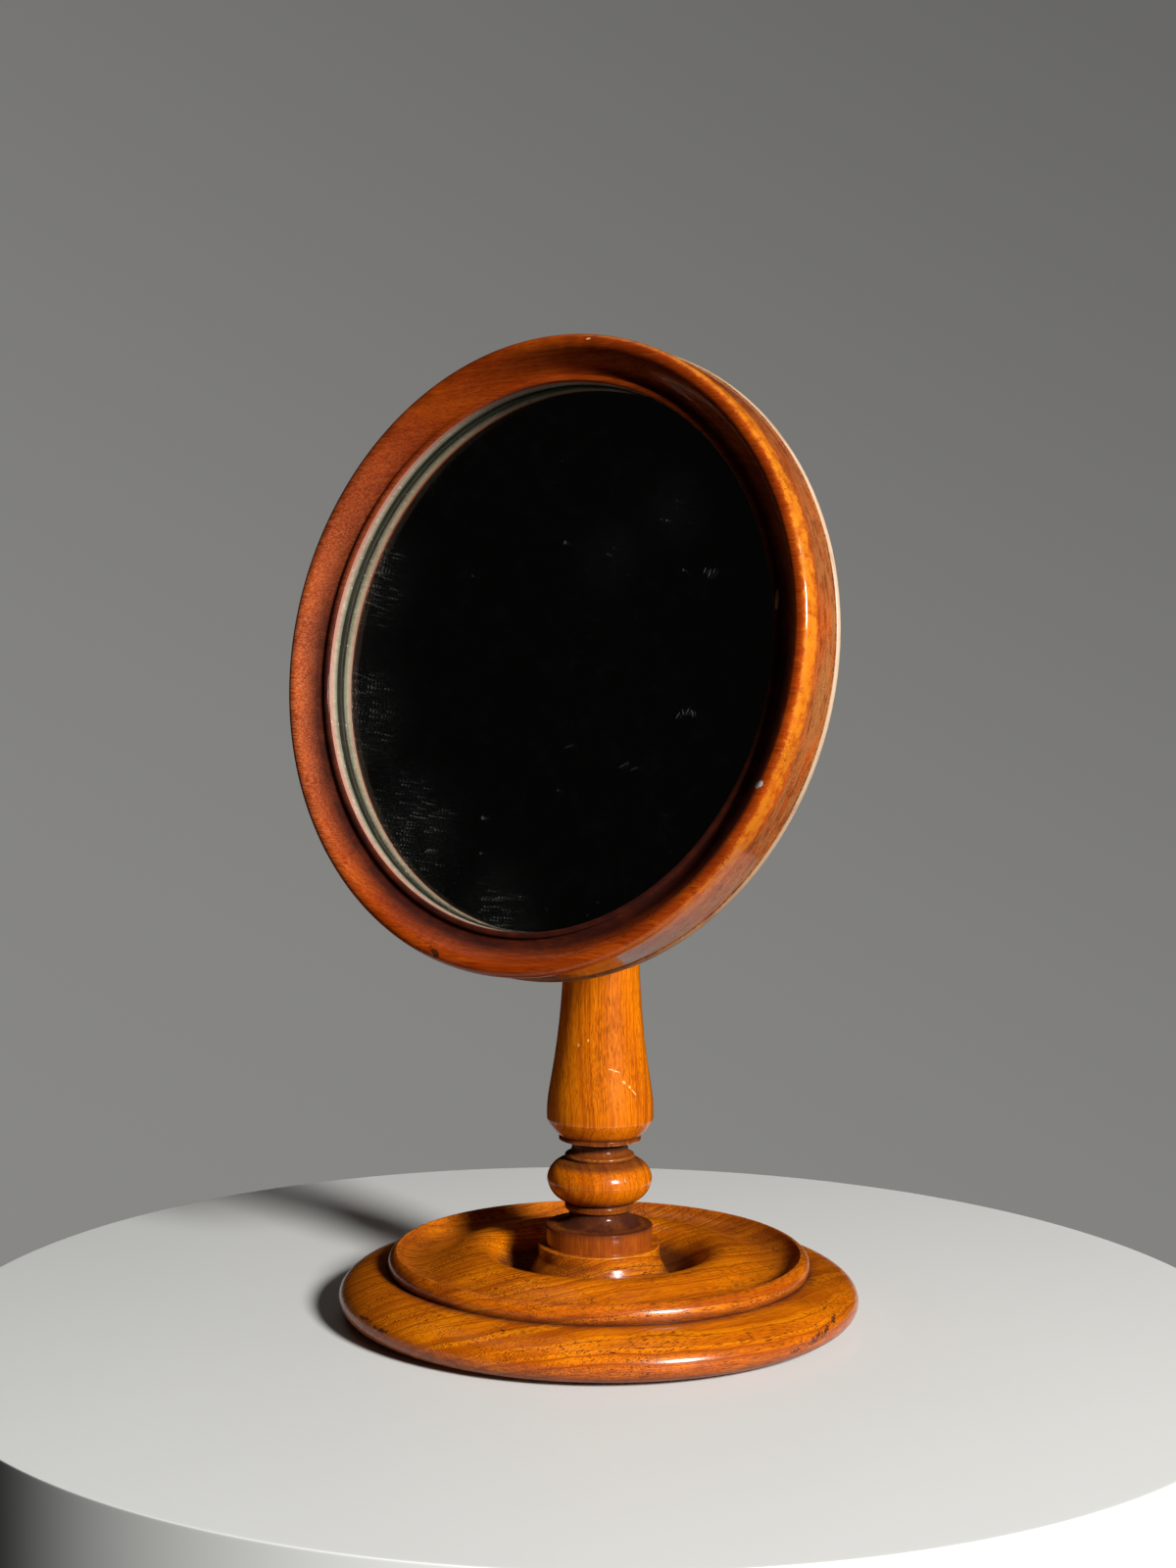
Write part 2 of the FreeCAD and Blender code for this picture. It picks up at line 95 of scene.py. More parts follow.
class TurnedLine:
    """Half section of a turned piece, drawn edge by edge as radius and height."""

    FINE = 0.2
    ARC_POINTS = 25
    BALL_POINTS = 60
    CURVE_STEP = 0.8
    CURVE_POINTS = 8
    SAME_SPOT = 1e-6
    SLACK = 0.012
    LONGEST = 3.0
    CORNER_REACH = 1.0
    HOLLOW_REACH = 2.6
    WORN = (0.10, 0.38)
    GRIMY_HOLLOW = (0.0, -0.9)
    GRIMY_CORNER = (0.0, -0.35)

    def __init__(self, radius: float, height: float) -> None:
        """Start the line at a point."""
        self.points: list[np.ndarray] = [np.array([radius, height], float)]

    def _add(self, points: np.ndarray) -> "TurnedLine":
        """Append points and return the line."""
        self.points.extend(np.asarray(points, float))
        return self

    def to(self, radius: float, height: float) -> "TurnedLine":
        """Draw a straight edge to a point."""
        return self._add(np.array([[radius, height]]))

    def bow(self, radius: float, height: float, bulge: float) -> "TurnedLine":
        """Draw an arc to a point.

        Args:
            radius: Radius of the end point.
            height: Height of the end point.
            bulge: Rise of the arc over its chord, positive to the right of the way it is drawn.

        Returns:
            The line itself.
        """
        start = self.points[-1]
        end = np.array([radius, height], float)
        chord = float(np.linalg.norm(end - start))
        along = (end - start) / chord
        side = np.array([along[1], -along[0]]) * math.copysign(1.0, bulge)
        rise = abs(bulge)
        bend = (chord * chord / 4 + rise * rise) / (2 * rise)
        half = 2 * math.atan2(2 * rise, chord)
        turns = np.linspace(-half, half, self.ARC_POINTS)[1:, None]
        middle = (start + end) / 2
        return self._add(middle + along * bend * np.sin(turns) + side * (bend * np.cos(turns) - bend + rise))

    def quarter(self, radius: float, height: float, across_first: bool) -> "TurnedLine":
        """Draw a quarter of an ellipse to a point.

        Args:
            radius: Radius of the end point.
            height: Height of the end point.
            across_first: True where the curve leaves level, False where it leaves upright.

        Returns:
            The line itself.
        """
        start = self.points[-1]
        end = np.array([radius, height], float)
        corner = np.array([end[0], start[1]]) if across_first else np.array([start[0], end[1]])
        centre = start + end - corner
        turns = np.linspace(0, math.pi / 2, self.ARC_POINTS)[1:, None]
        return self._add(centre + (start - centre) * np.cos(turns) + (end - centre) * np.sin(turns))

    def round_about(self, height: float, radius: float, low_deg: float, high_deg: float) -> "TurnedLine":
        """Draw part of a ball that is centred on the axis.

        Args:
            height: Height of the ball's centre.
            radius: Radius of the ball.
            low_deg: Latitude at which the arc starts.
            high_deg: Latitude at which it ends.

        Returns:
            The line itself.
        """
        turns = np.radians(np.linspace(low_deg, high_deg, self.BALL_POINTS))[:, None]
        return self._add(np.hstack([radius * np.cos(turns), height + radius * np.sin(turns)]))

    def through(self, spots: Sequence[Pair]) -> "TurnedLine":
        """Draw a smooth curve through points.

        Args:
            spots: Points as radius and height, after the one where the line stands.

        Returns:
            The line itself.
        """
        knots = np.vstack([self.points[-1], np.array(spots, float)])
        steps = np.linalg.norm(np.diff(knots, axis=0), axis=1)
        place = np.concatenate([[0.0], np.cumsum(steps)])
        count = len(knots)
        rows = np.zeros((count, count))
        right = np.zeros((count, 2))
        for index in range(1, count - 1):
            before, after = steps[index - 1], steps[index]
            rows[index, index - 1 : index + 2] = (after, 2 * (before + after), before)
            behind, ahead = knots[index] - knots[index - 1], knots[index + 1] - knots[index]
            right[index] = 3 * (after * behind / before + before * ahead / after)
        for index, near in ((0, range(0, 4)), (count - 1, range(count - 4, count))):
            near = list(near)
            rows[index, index] = 1.0
            for axis in range(2):
                fit = np.polyfit(place[near], knots[near, axis], 3)
                right[index, axis] = np.polyval(np.polyder(fit), place[index])
        slopes = np.linalg.solve(rows, right)
        for index, step in enumerate(steps):
            share = np.linspace(0, 1, max(self.CURVE_POINTS, int(step / self.CURVE_STEP)))[1:, None]
            start, end = knots[index], knots[index + 1]
            rise = 2 * share**3 - 3 * share**2
            leave = (share**3 - 2 * share**2 + share) * slopes[index] * step
            arrive = (share**3 - share**2) * slopes[index + 1] * step
            self._add(start * (1 + rise) - end * rise + leave + arrive)
        return self

    def softened(self, ease: float, closed: bool = False) -> np.ndarray:
        """Resample the line, ease its corners and note where hands wear it and where dirt gathers.

        Args:
            ease: Reach of the easing along the line.
            closed: True where the line's end joins its start.

        Returns:
            Rows of radius, height, wear, grime and fading, with points only where the line bends.
        """
        rough = np.array(self.points)
        if closed:
            rough = np.vstack([rough, rough[:1]])
        steps = np.linalg.norm(np.diff(rough, axis=0), axis=1)
        keep = np.concatenate([[True], steps > self.SAME_SPOT])
        rough = rough[keep]
        place = np.concatenate([[0.0], np.cumsum(np.linalg.norm(np.diff(rough, axis=0), axis=1))])
        count = int(place[-1] / self.FINE)
        even = np.linspace(0, place[-1], count + 1)
        line = np.column_stack([np.interp(even, place, rough[:, axis]) for axis in range(2)])
        if closed:
            line = line[:-1]
        line = self._eased(line, ease, closed)
        travel = np.gradient(line, axis=0)
        if closed:
            travel = (np.roll(line, -1, axis=0) - np.roll(line, 1, axis=0)) / 2
        travel /= np.maximum(np.linalg.norm(travel, axis=1, keepdims=True), TINY)
        outward = np.column_stack([travel[:, 1], -travel[:, 0]])
        sharp = ((line - self._eased(line, self.CORNER_REACH, closed)) * outward).sum(1)
        broad = ((line - self._eased(line, self.HOLLOW_REACH, closed)) * outward).sum(1)
        grime = np.maximum(between(broad, *self.GRIMY_HOLLOW), between(sharp, *self.GRIMY_CORNER))
        rows = np.column_stack([line, between(sharp, *self.WORN), grime, np.zeros(len(line))])
        return rows[self._bends(line, closed)]

    @staticmethod
    def _eased(line: np.ndarray, reach: float, closed: bool) -> np.ndarray:
        """Smooth a line, with the ends of an open one kept.

        Args:
            line: Points at even steps.
            reach: Reach of the easing along the line.
            closed: True where the line's end joins its start.

        Returns:
            The eased points.
        """
        if reach <= 0:
            return line.copy()
        width = max(1, int(3 * reach / TurnedLine.FINE))
        kernel = np.exp(-0.5 * (np.arange(-width, width + 1) * TurnedLine.FINE / reach) ** 2)
        kernel /= kernel.sum()
        if closed:
            padded = np.vstack([line[-width:], line, line[:width]])
        else:
            before, after = 2 * line[0] - line[width:0:-1], 2 * line[-1] - line[-2 : -width - 2 : -1]
            padded = np.vstack([before, line, after])
        return np.column_stack([np.convolve(padded[:, axis], kernel, "valid") for axis in range(2)])

    @staticmethod
    def _bends(line: np.ndarray, closed: bool) -> np.ndarray:
        """Pick the points that hold the line's shape within a slack.

        Args:
            line: Points at even steps.
            closed: True where the line's end joins its start.

        Returns:
            The indices of the points to keep.
        """
        kept = {0, len(line) - 1}
        spans = [(0, len(line) - 1)]
        if closed:
            middle = len(line) // 2
            kept.add(middle)
            spans = [(0, middle), (middle, len(line) - 1)]
        while spans:
            low, high = spans.pop()
            if high - low < 2:
                continue
            chord = line[high] - line[low]
            length = float(np.linalg.norm(chord))
            offset = line[low + 1 : high] - line[low]
            if length < TINY:
                away = np.linalg.norm(offset, axis=1)
            else:
                away = np.abs(chord[0] * offset[:, 1] - chord[1] * offset[:, 0]) / length
            worst = int(np.argmax(away)) + low + 1
            if away.max() <= TurnedLine.SLACK:
                if length <= TurnedLine.LONGEST:
                    continue
                worst = (low + high) // 2
            kept.add(worst)
            spans += [(low, worst), (worst, high)]
        return np.array(sorted(kept))


def filleted(corners: Sequence[Triple]) -> TurnedLine:
    """Draw a closed line of straight edges with rounded corners.

    Args:
        corners: Corners as radius, height and rounding.

    Returns:
        The line, to be closed.
    """
    spots = [np.array(corner[:2], float) for corner in corners]
    line: Optional[TurnedLine] = None
    for index, (spot, corner) in enumerate(zip(spots, corners)):
        before = spots[index - 1] - spot
        after = spots[(index + 1) % len(spots)] - spot
        before /= np.linalg.norm(before)
        after /= np.linalg.norm(after)
        half = math.acos(float(np.clip(before @ after, -1, 1))) / 2
        reach = corner[2] / math.tan(half)
        bulge = math.copysign(corner[2] * (1 - math.sin(half)), before[1] * after[0] - before[0] * after[1])
        enter, leave = spot + before * reach, spot + after * reach
        line = TurnedLine(*enter) if line is None else line.to(*enter)
        if corner[2] > 0:
            line.bow(leave[0], leave[1], bulge)
    return line


def lathe(
    name: str, rows: np.ndarray, segments: int, closed: bool = False, place: Matrix = Matrix()
) -> bpy.types.Object:
    """Spin a softened line about Z into a mesh object.

    Args:
        name: Name of the piece.
        rows: Rows of radius, height, wear, grime and fading.
        segments: Facets round the axis.
        closed: True where the line closes on itself.
        place: Placement of the turned piece, in millimetres.

    Returns:
        The object, with its place in its mesh.
    """
    turns = np.linspace(0, 2 * math.pi, segments, endpoint=False)
    places: list[np.ndarray] = []
    rings: list[np.ndarray] = []
    shades: list[np.ndarray] = []
    total = 0
    for radius, height, *shade in rows:
        size = 1 if radius < ON_AXIS else segments
        angle = turns[:size]
        places.append(np.column_stack([radius * np.cos(angle), radius * np.sin(angle), np.full(size, height)]))
        shades.append(np.tile(shade, (size, 1)))
        rings.append(np.arange(total, total + size))
        total += size
    faces: list[list[int]] = []
    order = list(range(len(rings))) + ([0] if closed else [])
    for low, high in zip(order[:-1], order[1:]):
        first, second = rings[low], rings[high]
        for index in range(segments):
            following = (index + 1) % segments
            quad = [
                first[index % len(first)],
                first[following % len(first)],
                second[following % len(second)],
                second[index % len(second)],
            ]
            faces.append(list(dict.fromkeys(int(spot) for spot in quad)))
    faces = [face for face in faces if len(face) > 2]
    return meshed(name, np.vstack(places), faces, np.vstack(shades), place)


def meshed(
    name: str, places: np.ndarray, faces: Sequence[Sequence[int]], shades: np.ndarray, place: Matrix = Matrix()
) -> bpy.types.Object:
    """Make a smooth mesh object from points and faces.

    Args:
        name: Name of the piece.
        places: Points in millimetres.
        faces: Corner indices of each face.
        shades: Wear, grime and fading of each point.
        place: Placement of the piece, in millimetres.

    Returns:
        The object, linked to the scene.
    """
    mesh = bpy.data.meshes.new(name)
    mesh.from_pydata(places.tolist(), [], [list(face) for face in faces])
    mesh.transform(Matrix.Scale(MM, 4) @ place)
    for index, label in enumerate(SHADES):
        layer = mesh.attributes.new(label, "FLOAT", "POINT")
        layer.data.foreach_set("value", np.ascontiguousarray(shades[:, index], np.float32))
    mesh.shade_smooth()
    mesh.update()
    return linked(name, mesh)


def linked(name: str, mesh: bpy.types.Mesh) -> bpy.types.Object:
    """Make an object of a mesh.

    Args:
        name: Name of the object.
        mesh: Its mesh.

    Returns:
        The object, linked to the scene.
    """
    piece = bpy.data.objects.new(name, mesh)
    bpy.context.scene.collection.objects.link(piece)
    return piece


def baked(piece: bpy.types.Object) -> bpy.types.Object:
    """Turn an object's modifiers into plain mesh.

    Args:
        piece: Object with live modifiers.

    Returns:
        The same object, without modifiers.
    """
    bpy.context.view_layer.update()
    shape = piece.evaluated_get(bpy.context.evaluated_depsgraph_get())
    mesh = bpy.data.meshes.new_from_object(shape)
    mesh.name = piece.name
    piece.modifiers.clear()
    piece.data = mesh
    return piece


def moved(piece: bpy.types.Object, place: Matrix) -> None:
    """Move a piece's mesh by a placement in millimetres."""
    piece.data.transform(Matrix.Scale(MM, 4) @ place @ Matrix.Scale(1 / MM, 4))


def cut_box(low: Triple, high: Triple) -> bpy.types.Object:
    """Make a plain box to cut with.

    Args:
        low: Its least corner, in millimetres.
        high: Its greatest corner.

    Returns:
        The box.
    """
    corners = [(x, y, z) for x in (low[0], high[0]) for y in (low[1], high[1]) for z in (low[2], high[2])]
    faces = [(0, 1, 3, 2), (4, 6, 7, 5), (0, 4, 5, 1), (2, 3, 7, 6), (0, 2, 6, 4), (1, 5, 7, 3)]
    return meshed("cutter", np.array(corners), faces, np.zeros((len(corners), len(SHADES))))


def carved(piece: bpy.types.Object, cutters: Sequence[bpy.types.Object], crease_deg: float) -> bpy.types.Object:
    """Cut shapes out of a piece and keep the new edges crisp.

    Args:
        piece: Piece to cut.
        cutters: Shapes to take away, which are deleted.
        crease_deg: Edges that turn by more than this stay sharp.

    Returns:
        The piece.
    """
    for cutter in cutters:
        step = piece.modifiers.new("cut", "BOOLEAN")
        step.operation = "DIFFERENCE"
        step.solver = "EXACT"
        step.object = cutter
    baked(piece)
    for cutter in cutters:
        bpy.data.objects.remove(cutter)
    piece.data.set_sharp_from_angle(angle=math.radians(crease_deg))
    return piece


def settle(
    piece: bpy.types.Object, finish: bpy.types.Material, body: Body, slot: Slot, stands_for: Sequence[str]
) -> None:
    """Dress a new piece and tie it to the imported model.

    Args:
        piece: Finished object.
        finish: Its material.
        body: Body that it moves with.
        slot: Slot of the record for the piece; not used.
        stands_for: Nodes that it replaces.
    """
    piece.data.materials.clear()
    piece.data.materials.append(finish)
    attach(piece, body.value)
    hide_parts(*stands_for)
    LOG.info("piece %s on %s: %d faces", piece.name, body.value, len(piece.data.polygons))


def dress(node: str, finish: bpy.types.Material) -> None:
    """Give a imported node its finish.

    Args:
        node: Name of the node.
        finish: Its material.
    """
    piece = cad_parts[node]
    piece.data.materials.clear()
    piece.data.materials.append(finish)
    LOG.info("node %s dressed in %s", node, finish.name)


@dataclass(frozen=True)
class Plank:
    """Place of a piece in the plank it was turned from: X runs along the grain."""

    origin: Triple = (0.0, 0.0, 0.0)
    turn_deg: Triple = (0.0, 0.0, 0.0)
    heart: Pair = (-30.0, -50.0)


MIRROR_PLANK = Plank((0.0, 0.0, PIVOT_HEIGHT), (90.0 - math.degrees(REST_TILT), 0.0, 0.0), (-55.0, -30.0))


@dataclass(frozen=True)
class Pattern:
    """Soft noise: waves per millimetre along each axis, its finer detail and how strong that is."""

    scale: Triple
    detail: float = 2.0
    rough: float = 0.5


class Graph:
    """Node tree with short calls for the nodes that the finishes and the room share."""

    SCALARS = ("LENGTH", "DOT_PRODUCT", "DISTANCE")

    def __init__(self, tree: bpy.types.NodeTree) -> None:
        """Start from a tree, which is emptied."""
        self.nodes, self.links = tree.nodes, tree.links
        self.nodes.clear()

    def feed(self, socket: Socket, value: Input) -> None:
        """Link a socket to another, or set its value.

        Args:
            socket: Input of a node.
            value: Socket to link from, or the number, vector or colour to set.
        """
        if isinstance(value, Socket):
            self.links.new(value, socket)
        elif socket.type == "RGBA":
            socket.default_value = (*value, 1.0)
        else:
            socket.default_value = value

    def add(self, kind: str, inputs: Optional[dict[Key, Input]] = None, **settings: object) -> bpy.types.Node:
        """Add a node.

        Args:
            kind: Type of the node.
            inputs: What its sockets get, by name or number.
            settings: Its settings.

        Returns:
            The node.
        """
        node = self.nodes.new(kind)
        for label, value in settings.items():
            setattr(node, label, value)
        for key, value in (inputs or {}).items():
            self.feed(node.inputs[key], value)
        return node

    def local(self, plank: Plank) -> Socket:
        """Measure places in the frame of a plank.

        Args:
            plank: Plank that the piece was turned from.

        Returns:
            The place of each point, in millimetres.
        """
        inputs = {
            "Vector": self.add("ShaderNodeTexCoord").outputs["Object"],
            "Location": [value * MM for value in plank.origin],
            "Rotation": [math.radians(value) for value in plank.turn_deg],
        }
        turn = self.add("ShaderNodeMapping", inputs, vector_type="TEXTURE")
        return self.stretch(turn.outputs["Vector"], (1 / MM,) * 3)

    def vector(self, work: str, first: Socket, second: Paint = (0.0, 0.0, 0.0)) -> Socket:
        """Return the result of a vector operation."""
        node = self.add("ShaderNodeVectorMath", {0: first, 1: second}, operation=work)
        return node.outputs["Value" if work in self.SCALARS else "Vector"]

    def stretch(self, vector: Socket, scale: Triple) -> Socket:
        """Return a vector scaled along each axis."""
        return self.vector("MULTIPLY", vector, scale)

    def sided(self, place: Socket, side: Triple, least: float = 0.0) -> Socket:
        """Return a share that grows toward a side, from what it is at the origin."""
        return self.math("ADD", self.vector("DOT_PRODUCT", place, side), least, True)

    def math(self, work: str, first: Value, second: Value = 0.0, clamp: bool = False) -> Socket:
        """Return the result of a number operation."""
        return self.add("ShaderNodeMath", {0: first, 1: second}, operation=work, use_clamp=clamp).outputs[0]

    def times(self, first: Value, second: Value, clamp: bool = False) -> Socket:
        """Return the product of two numbers."""
        return self.math("MULTIPLY", first, second, clamp)

    def inverse(self, share: Socket) -> Socket:
        """Return what a share leaves of 1."""
        return self.math("SUBTRACT", 1.0, share)

    def blend(self, parts: Sequence[tuple[Socket, float]]) -> Socket:
        """Add numbers up by weight.

        Args:
            parts: Numbers and their weights.

        Returns:
            The weighted sum.
        """
        total: Optional[Socket] = None
        for value, weight in parts:
            share = self.times(value, weight)
            total = share if total is None else self.math("ADD", total, share)
        return total

    def pattern(self, place: Socket, pattern: Pattern) -> Socket:
        """Spread a pattern of soft noise.

        Args:
            place: Millimetres in some frame.
            pattern: Pattern to spread.

        Returns:
            The noise at each place.
        """
        vector = self.stretch(place, pattern.scale)
        inputs = {"Vector": vector, "Scale": 1.0, "Detail": pattern.detail, "Roughness": pattern.rough}
        return self.add("ShaderNodeTexNoise", inputs).outputs[0]

    def layers(self, depth: Socket) -> Socket:
        """Return noise along one number, for layers of wood."""
        inputs = {"W": depth, "Scale": 1.0, "Detail": 1.0}
        return self.add("ShaderNodeTexNoise", inputs, noise_dimensions="1D").outputs[0]

    def cells(self, place: Socket, scale: Triple) -> tuple[Socket, Socket]:
        """Scatter points, one in each cell.

        Args:
            place: Millimetres in some frame.
            scale: Cells per millimetre along each axis.

        Returns:
            The distance to the nearest point, and that point's own random number.
        """
        node = self.add("ShaderNodeTexVoronoi", {"Vector": self.stretch(place, scale), "Scale": 1.0})
        split = self.add("ShaderNodeSeparateColor", {0: node.outputs["Color"]})
        return node.outputs["Distance"], split.outputs[0]

    def dots(self, place: Socket, scale: Triple, size: Pair, chance: Pair) -> Socket:
        """Return soft dots of a size at those scattered points whose random number is high."""
        near, draw = self.cells(place, scale)
        return self.times(self.remap(near, *size, 1.0, 0.0), self.remap(draw, *chance))

    def remap(self, value: Value, low: float, high: float, start: float = 0.0, end: float = 1.0) -> Socket:
        """Return a number eased from one range into another."""
        inputs = {"Value": value, "From Min": low, "From Max": high, "To Min": start, "To Max": end}
        return self.add("ShaderNodeMapRange", inputs, interpolation_type="SMOOTHSTEP").outputs["Result"]

    def ramp(self, value: Socket, stops: Sequence[tuple[float, Triple]]) -> Socket:
        """Look a colour up on a ramp.

        Args:
            value: Number to look up.
            stops: Places and colours of the ramp.

        Returns:
            The colour.
        """
        node = self.add("ShaderNodeValToRGB", {0: value})
        line = node.color_ramp.elements
        while len(line) < len(stops):
            line.new(0.5)
        for element, (place, colour) in zip(line, stops):
            element.position = place
            element.color = (*colour, 1.0)
        return node.outputs["Color"]

    def mix(self, share: Value, first: Paint, second: Paint) -> Socket:
        """Return two colours mixed."""
        return self.add("ShaderNodeMix", {0: share, 6: first, 7: second}, data_type="RGBA").outputs[2]

    def choose(self, share: Socket, first: Socket, second: Socket) -> Socket:
        """Return the first number where a share is 0, and the second where it is 1."""
        return self.add("ShaderNodeMix", {0: share, 2: first, 3: second}).outputs[0]

    def attribute(self, label: str) -> Socket:
        """Return a number kept on the mesh."""
        return self.add("ShaderNodeAttribute", attribute_name=label).outputs["Fac"]

    def bump(self, height: Socket, depth: float, under: Optional[Socket] = None) -> Socket:
        """Raise the surface by a height.

        Args:
            height: Height from 0 to 1.
            depth: Millimetres that a height of 1 stands for.
            under: Normal to start from.

        Returns:
            The raised normal.
        """
        inputs = {"Height": height, "Distance": depth * MM}
        if under is not None:
            inputs["Normal"] = under
        return self.add("ShaderNodeBump", inputs).outputs["Normal"]


class Finish(Graph):
    """Node tree of a material with one shader."""

    def __init__(self, name: str) -> None:
        """Start a material with its shader and output.

        Args:
            name: Name of the material.
        """
        self.material = bpy.data.materials.new(name)
        self.material.use_nodes = True
        super().__init__(self.material.node_tree)
        self.shader = self.add("ShaderNodeBsdfPrincipled")
        self.add("ShaderNodeOutputMaterial", {"Surface": self.shader.outputs["BSDF"]})

    def surface(self, **inputs: Input) -> bpy.types.Material:
        """Set the shader's sockets.

        Args:
            inputs: Socket names with underscores for spaces, and what they get.

        Returns:
            The finished material.
        """
        for label, value in inputs.items():
            self.feed(self.shader.inputs[label.replace("_", " ")], value)
        return self.material


@dataclass(frozen=True)
class Mark:
    """Small chip, dent or scratch at a place of the object at rest, in millimetres."""

    spot: Triple
    way: Triple
    length: float
    width: float
    tint: Triple
    ragged: float = 0.8

    def mask(self, graph: Graph, place: Socket, fray: Socket) -> Socket:
        """Draw the mark's outline.

        Args:
            graph: Node tree to build in.
            place: Millimetres in the object's frame.
            fray: Noise that frays the outline.

        Returns:
            A number that is 1 inside the mark.
        """
        way = Vector(self.way).normalized()
        offset = graph.vector("SUBTRACT", place, self.spot)
        along = graph.vector("DOT_PRODUCT", offset, tuple(way))
        reach = graph.vector("LENGTH", offset)
        along = graph.times(along, along)
        beside = graph.math("SUBTRACT", graph.times(reach, reach), along)
        size = graph.blend(((along, 4 / self.length**2), (beside, 4 / self.width**2), (fray, self.ragged)))
        return graph.remap(size, 0.4 + self.ragged / 2, 0.8 + self.ragged / 2, 1.0, 0.0)


def dimmed(tint: Triple, share: float) -> Triple:
    """Return a share of a colour."""
    return tuple(share * value for value in tint)


@dataclass(frozen=True)
class Mahogany:
    """French-polished mahogany with growth lines, open pores, grime, worn arrises, faded polish and marks, and
    painted shade and sheen toward set sides.

    A side is a slope per millimetre in the plank's frame, for what grows toward that side.
    """

    DRIFT = Pattern((0.009, 0.022, 0.022))
    WAVE = Pattern((0.07, 0.12, 0.12))
    RIBBON = Pattern((0.016, 0.06, 0.06))
    FIBRE = Pattern((0.10, 2.2, 2.2), 3.0, 0.6)
    STRAND = Pattern((0.05, 1.3, 1.3))
    CROWD = Pattern((0.025, 0.10, 0.10))
    BLOT = Pattern((0.05, 0.05, 0.55), 5.0, 0.65)
    STAIN = Pattern((0.14, 0.14, 0.7), 5.0, 0.75)
    CLOUD = Pattern((0.10, 0.14, 0.14), 4.0, 0.6)
    SCUFF = Pattern((0.22, 0.30, 0.30), 5.0, 0.7)
    FRAY = Pattern((1.5, 1.5, 0.7), 3.0, 0.6)
    RIPPLE = Pattern((0.08, 0.20, 0.20), 1.0)
    THREAD_SHARE = 0.35
    LINE_SHADE = 0.55
    BLOOM_SHADE = 0.6
    PRICK_SHARE = 0.55
    RIM_FRAY = 0.3
    RIPPLE_DEPTH = 0.04
    SKIN_DEPTH = 0.010
    BODY_DEPTH = 0.05

    name: str
    plank: Plank
    dark: Triple = (0.36, 0.070, 0.001)
    middle: Triple = (0.57, 0.134, 0.001)
    light: Triple = (0.70, 0.190, 0.001)
    pore_tint: Triple = (0.085, 0.014, 0.001)
    grime_tint: Triple = (0.026, 0.007, 0.006)
    wear_tint: Triple = (0.62, 0.21, 0.03)
    fade_tint: Triple = (0.25, 0.10, 0.05)
    ring: float = 2.0
    figure: float = 1.0
    grain: float = 0.20
    pore_size: Pair = (8.0, 0.55)
    pore_share: float = 0.7
    stain_share: float = 0.7
    pale_tint: Triple = (0.52, 0.38, 0.26)
    bare_and_lit_rim: float = 0.0
    fade_patch: float = 0.15
    # Wear grows toward a set side. On the frame and board that side faces the key light, so the wear there is
    # partly painted light.
    wear_and_lit_side: Triple = (0.0, 0.0, 0.0)
    wear_and_lit_least: float = 1.0
    shaded_side: Triple = (0.0, 0.0, 0.0)
    clean_side: Triple = (0.0, 0.0, 0.0)
    # The side tint paints one side of the piece: a painted shade when the tint is dark, a painted sheen when it
    # is pale.
    painted_light_side: Triple = (0.0, 0.0, 0.0)
    painted_light_least: float = 0.0
    painted_light_tint: Triple = (0.66, 0.23, 0.11)
    rough: float = 0.52
    coat: float = 0.9
    coat_rough: float = 0.13
    marks: tuple[Mark, ...] = ()

    def _line_tint(self) -> Triple:
        """Return the colour of a growth line."""
        return dimmed(self.dark, self.LINE_SHADE)

    def _growth(self, graph: Graph, place: Socket) -> tuple[Socket, Socket, Socket]:
        """Draw the wood's layers, ribbons, fibres and dark lines.

        Args:
            graph: Node tree to build in.
            place: Millimetres in the plank's frame.

        Returns:
            The wood's colour, its layers and its fibres.
        """
        sway = graph.blend(((graph.pattern(place, self.DRIFT), 7.0), (graph.pattern(place, self.WAVE), 1.6)))
        across = graph.stretch(place, (0.0, 1.0, 1.0))
        depth = graph.math("ADD", graph.vector("DISTANCE", across, (0.0, *self.plank.heart)), sway)
        season = graph.layers(graph.math("DIVIDE", depth, self.ring))
        thread = graph.layers(graph.math("DIVIDE", depth, self.ring * self.THREAD_SHARE))
        ribbon, fibre, strand = (graph.pattern(place, each) for each in (self.RIBBON, self.FIBRE, self.STRAND))
        weights = (0.30 * self.figure, 0.45, 0.45)
        tone = graph.blend(tuple(zip((season, ribbon, fibre), weights)))
        middle = sum(weights) / 2
        tone = graph.remap(tone, middle - self.grain, middle + self.grain)
        tint = graph.ramp(tone, ((0.0, self.dark), (0.5, self.middle), (1.0, self.light)))
        threads = graph.times(graph.remap(thread, 0.30, 0.47, 1.0, 0.0), 0.45 * self.figure)
        strands = graph.times(graph.remap(strand, 0.30, 0.44, 1.0, 0.0), 0.5)
        return graph.mix(graph.math("MAXIMUM", threads, strands), tint, self._line_tint()), season, fibre

    def _pores(self, graph: Graph, place: Socket, season: Socket) -> Socket:
        """Scatter open pores along the grain, large ones and small.

        Args:
            graph: Node tree to build in.
            place: Millimetres in the plank's frame.
            season: Layers of the wood, in some of which the pores crowd.

        Returns:
            A number that is 1 in a pore.
        """
        crowd = graph.blend(((graph.pattern(place, self.CROWD), 0.6), (season, 0.4)))
        crowd = graph.times(graph.remap(crowd, 0.40, 0.62, -0.6, 1.0), 0.16)
        kinds: list[Socket] = []
        for scale in (1.0, self.PRICK_SHARE):
            length, width = (side * scale for side in self.pore_size)
            near, draw = graph.cells(place, (1 / length, 1 / width, 1 / width))
            size = graph.math("ADD", graph.remap(draw, 0.0, 1.0, 0.02, 0.34), crowd)
            kinds.append(graph.remap(graph.math("SUBTRACT", near, size), -0.10, 0.03, 1.0, 0.0))
        fleck, prick = kinds
        return graph.math("MAXIMUM", fleck, graph.times(prick, 0.7))

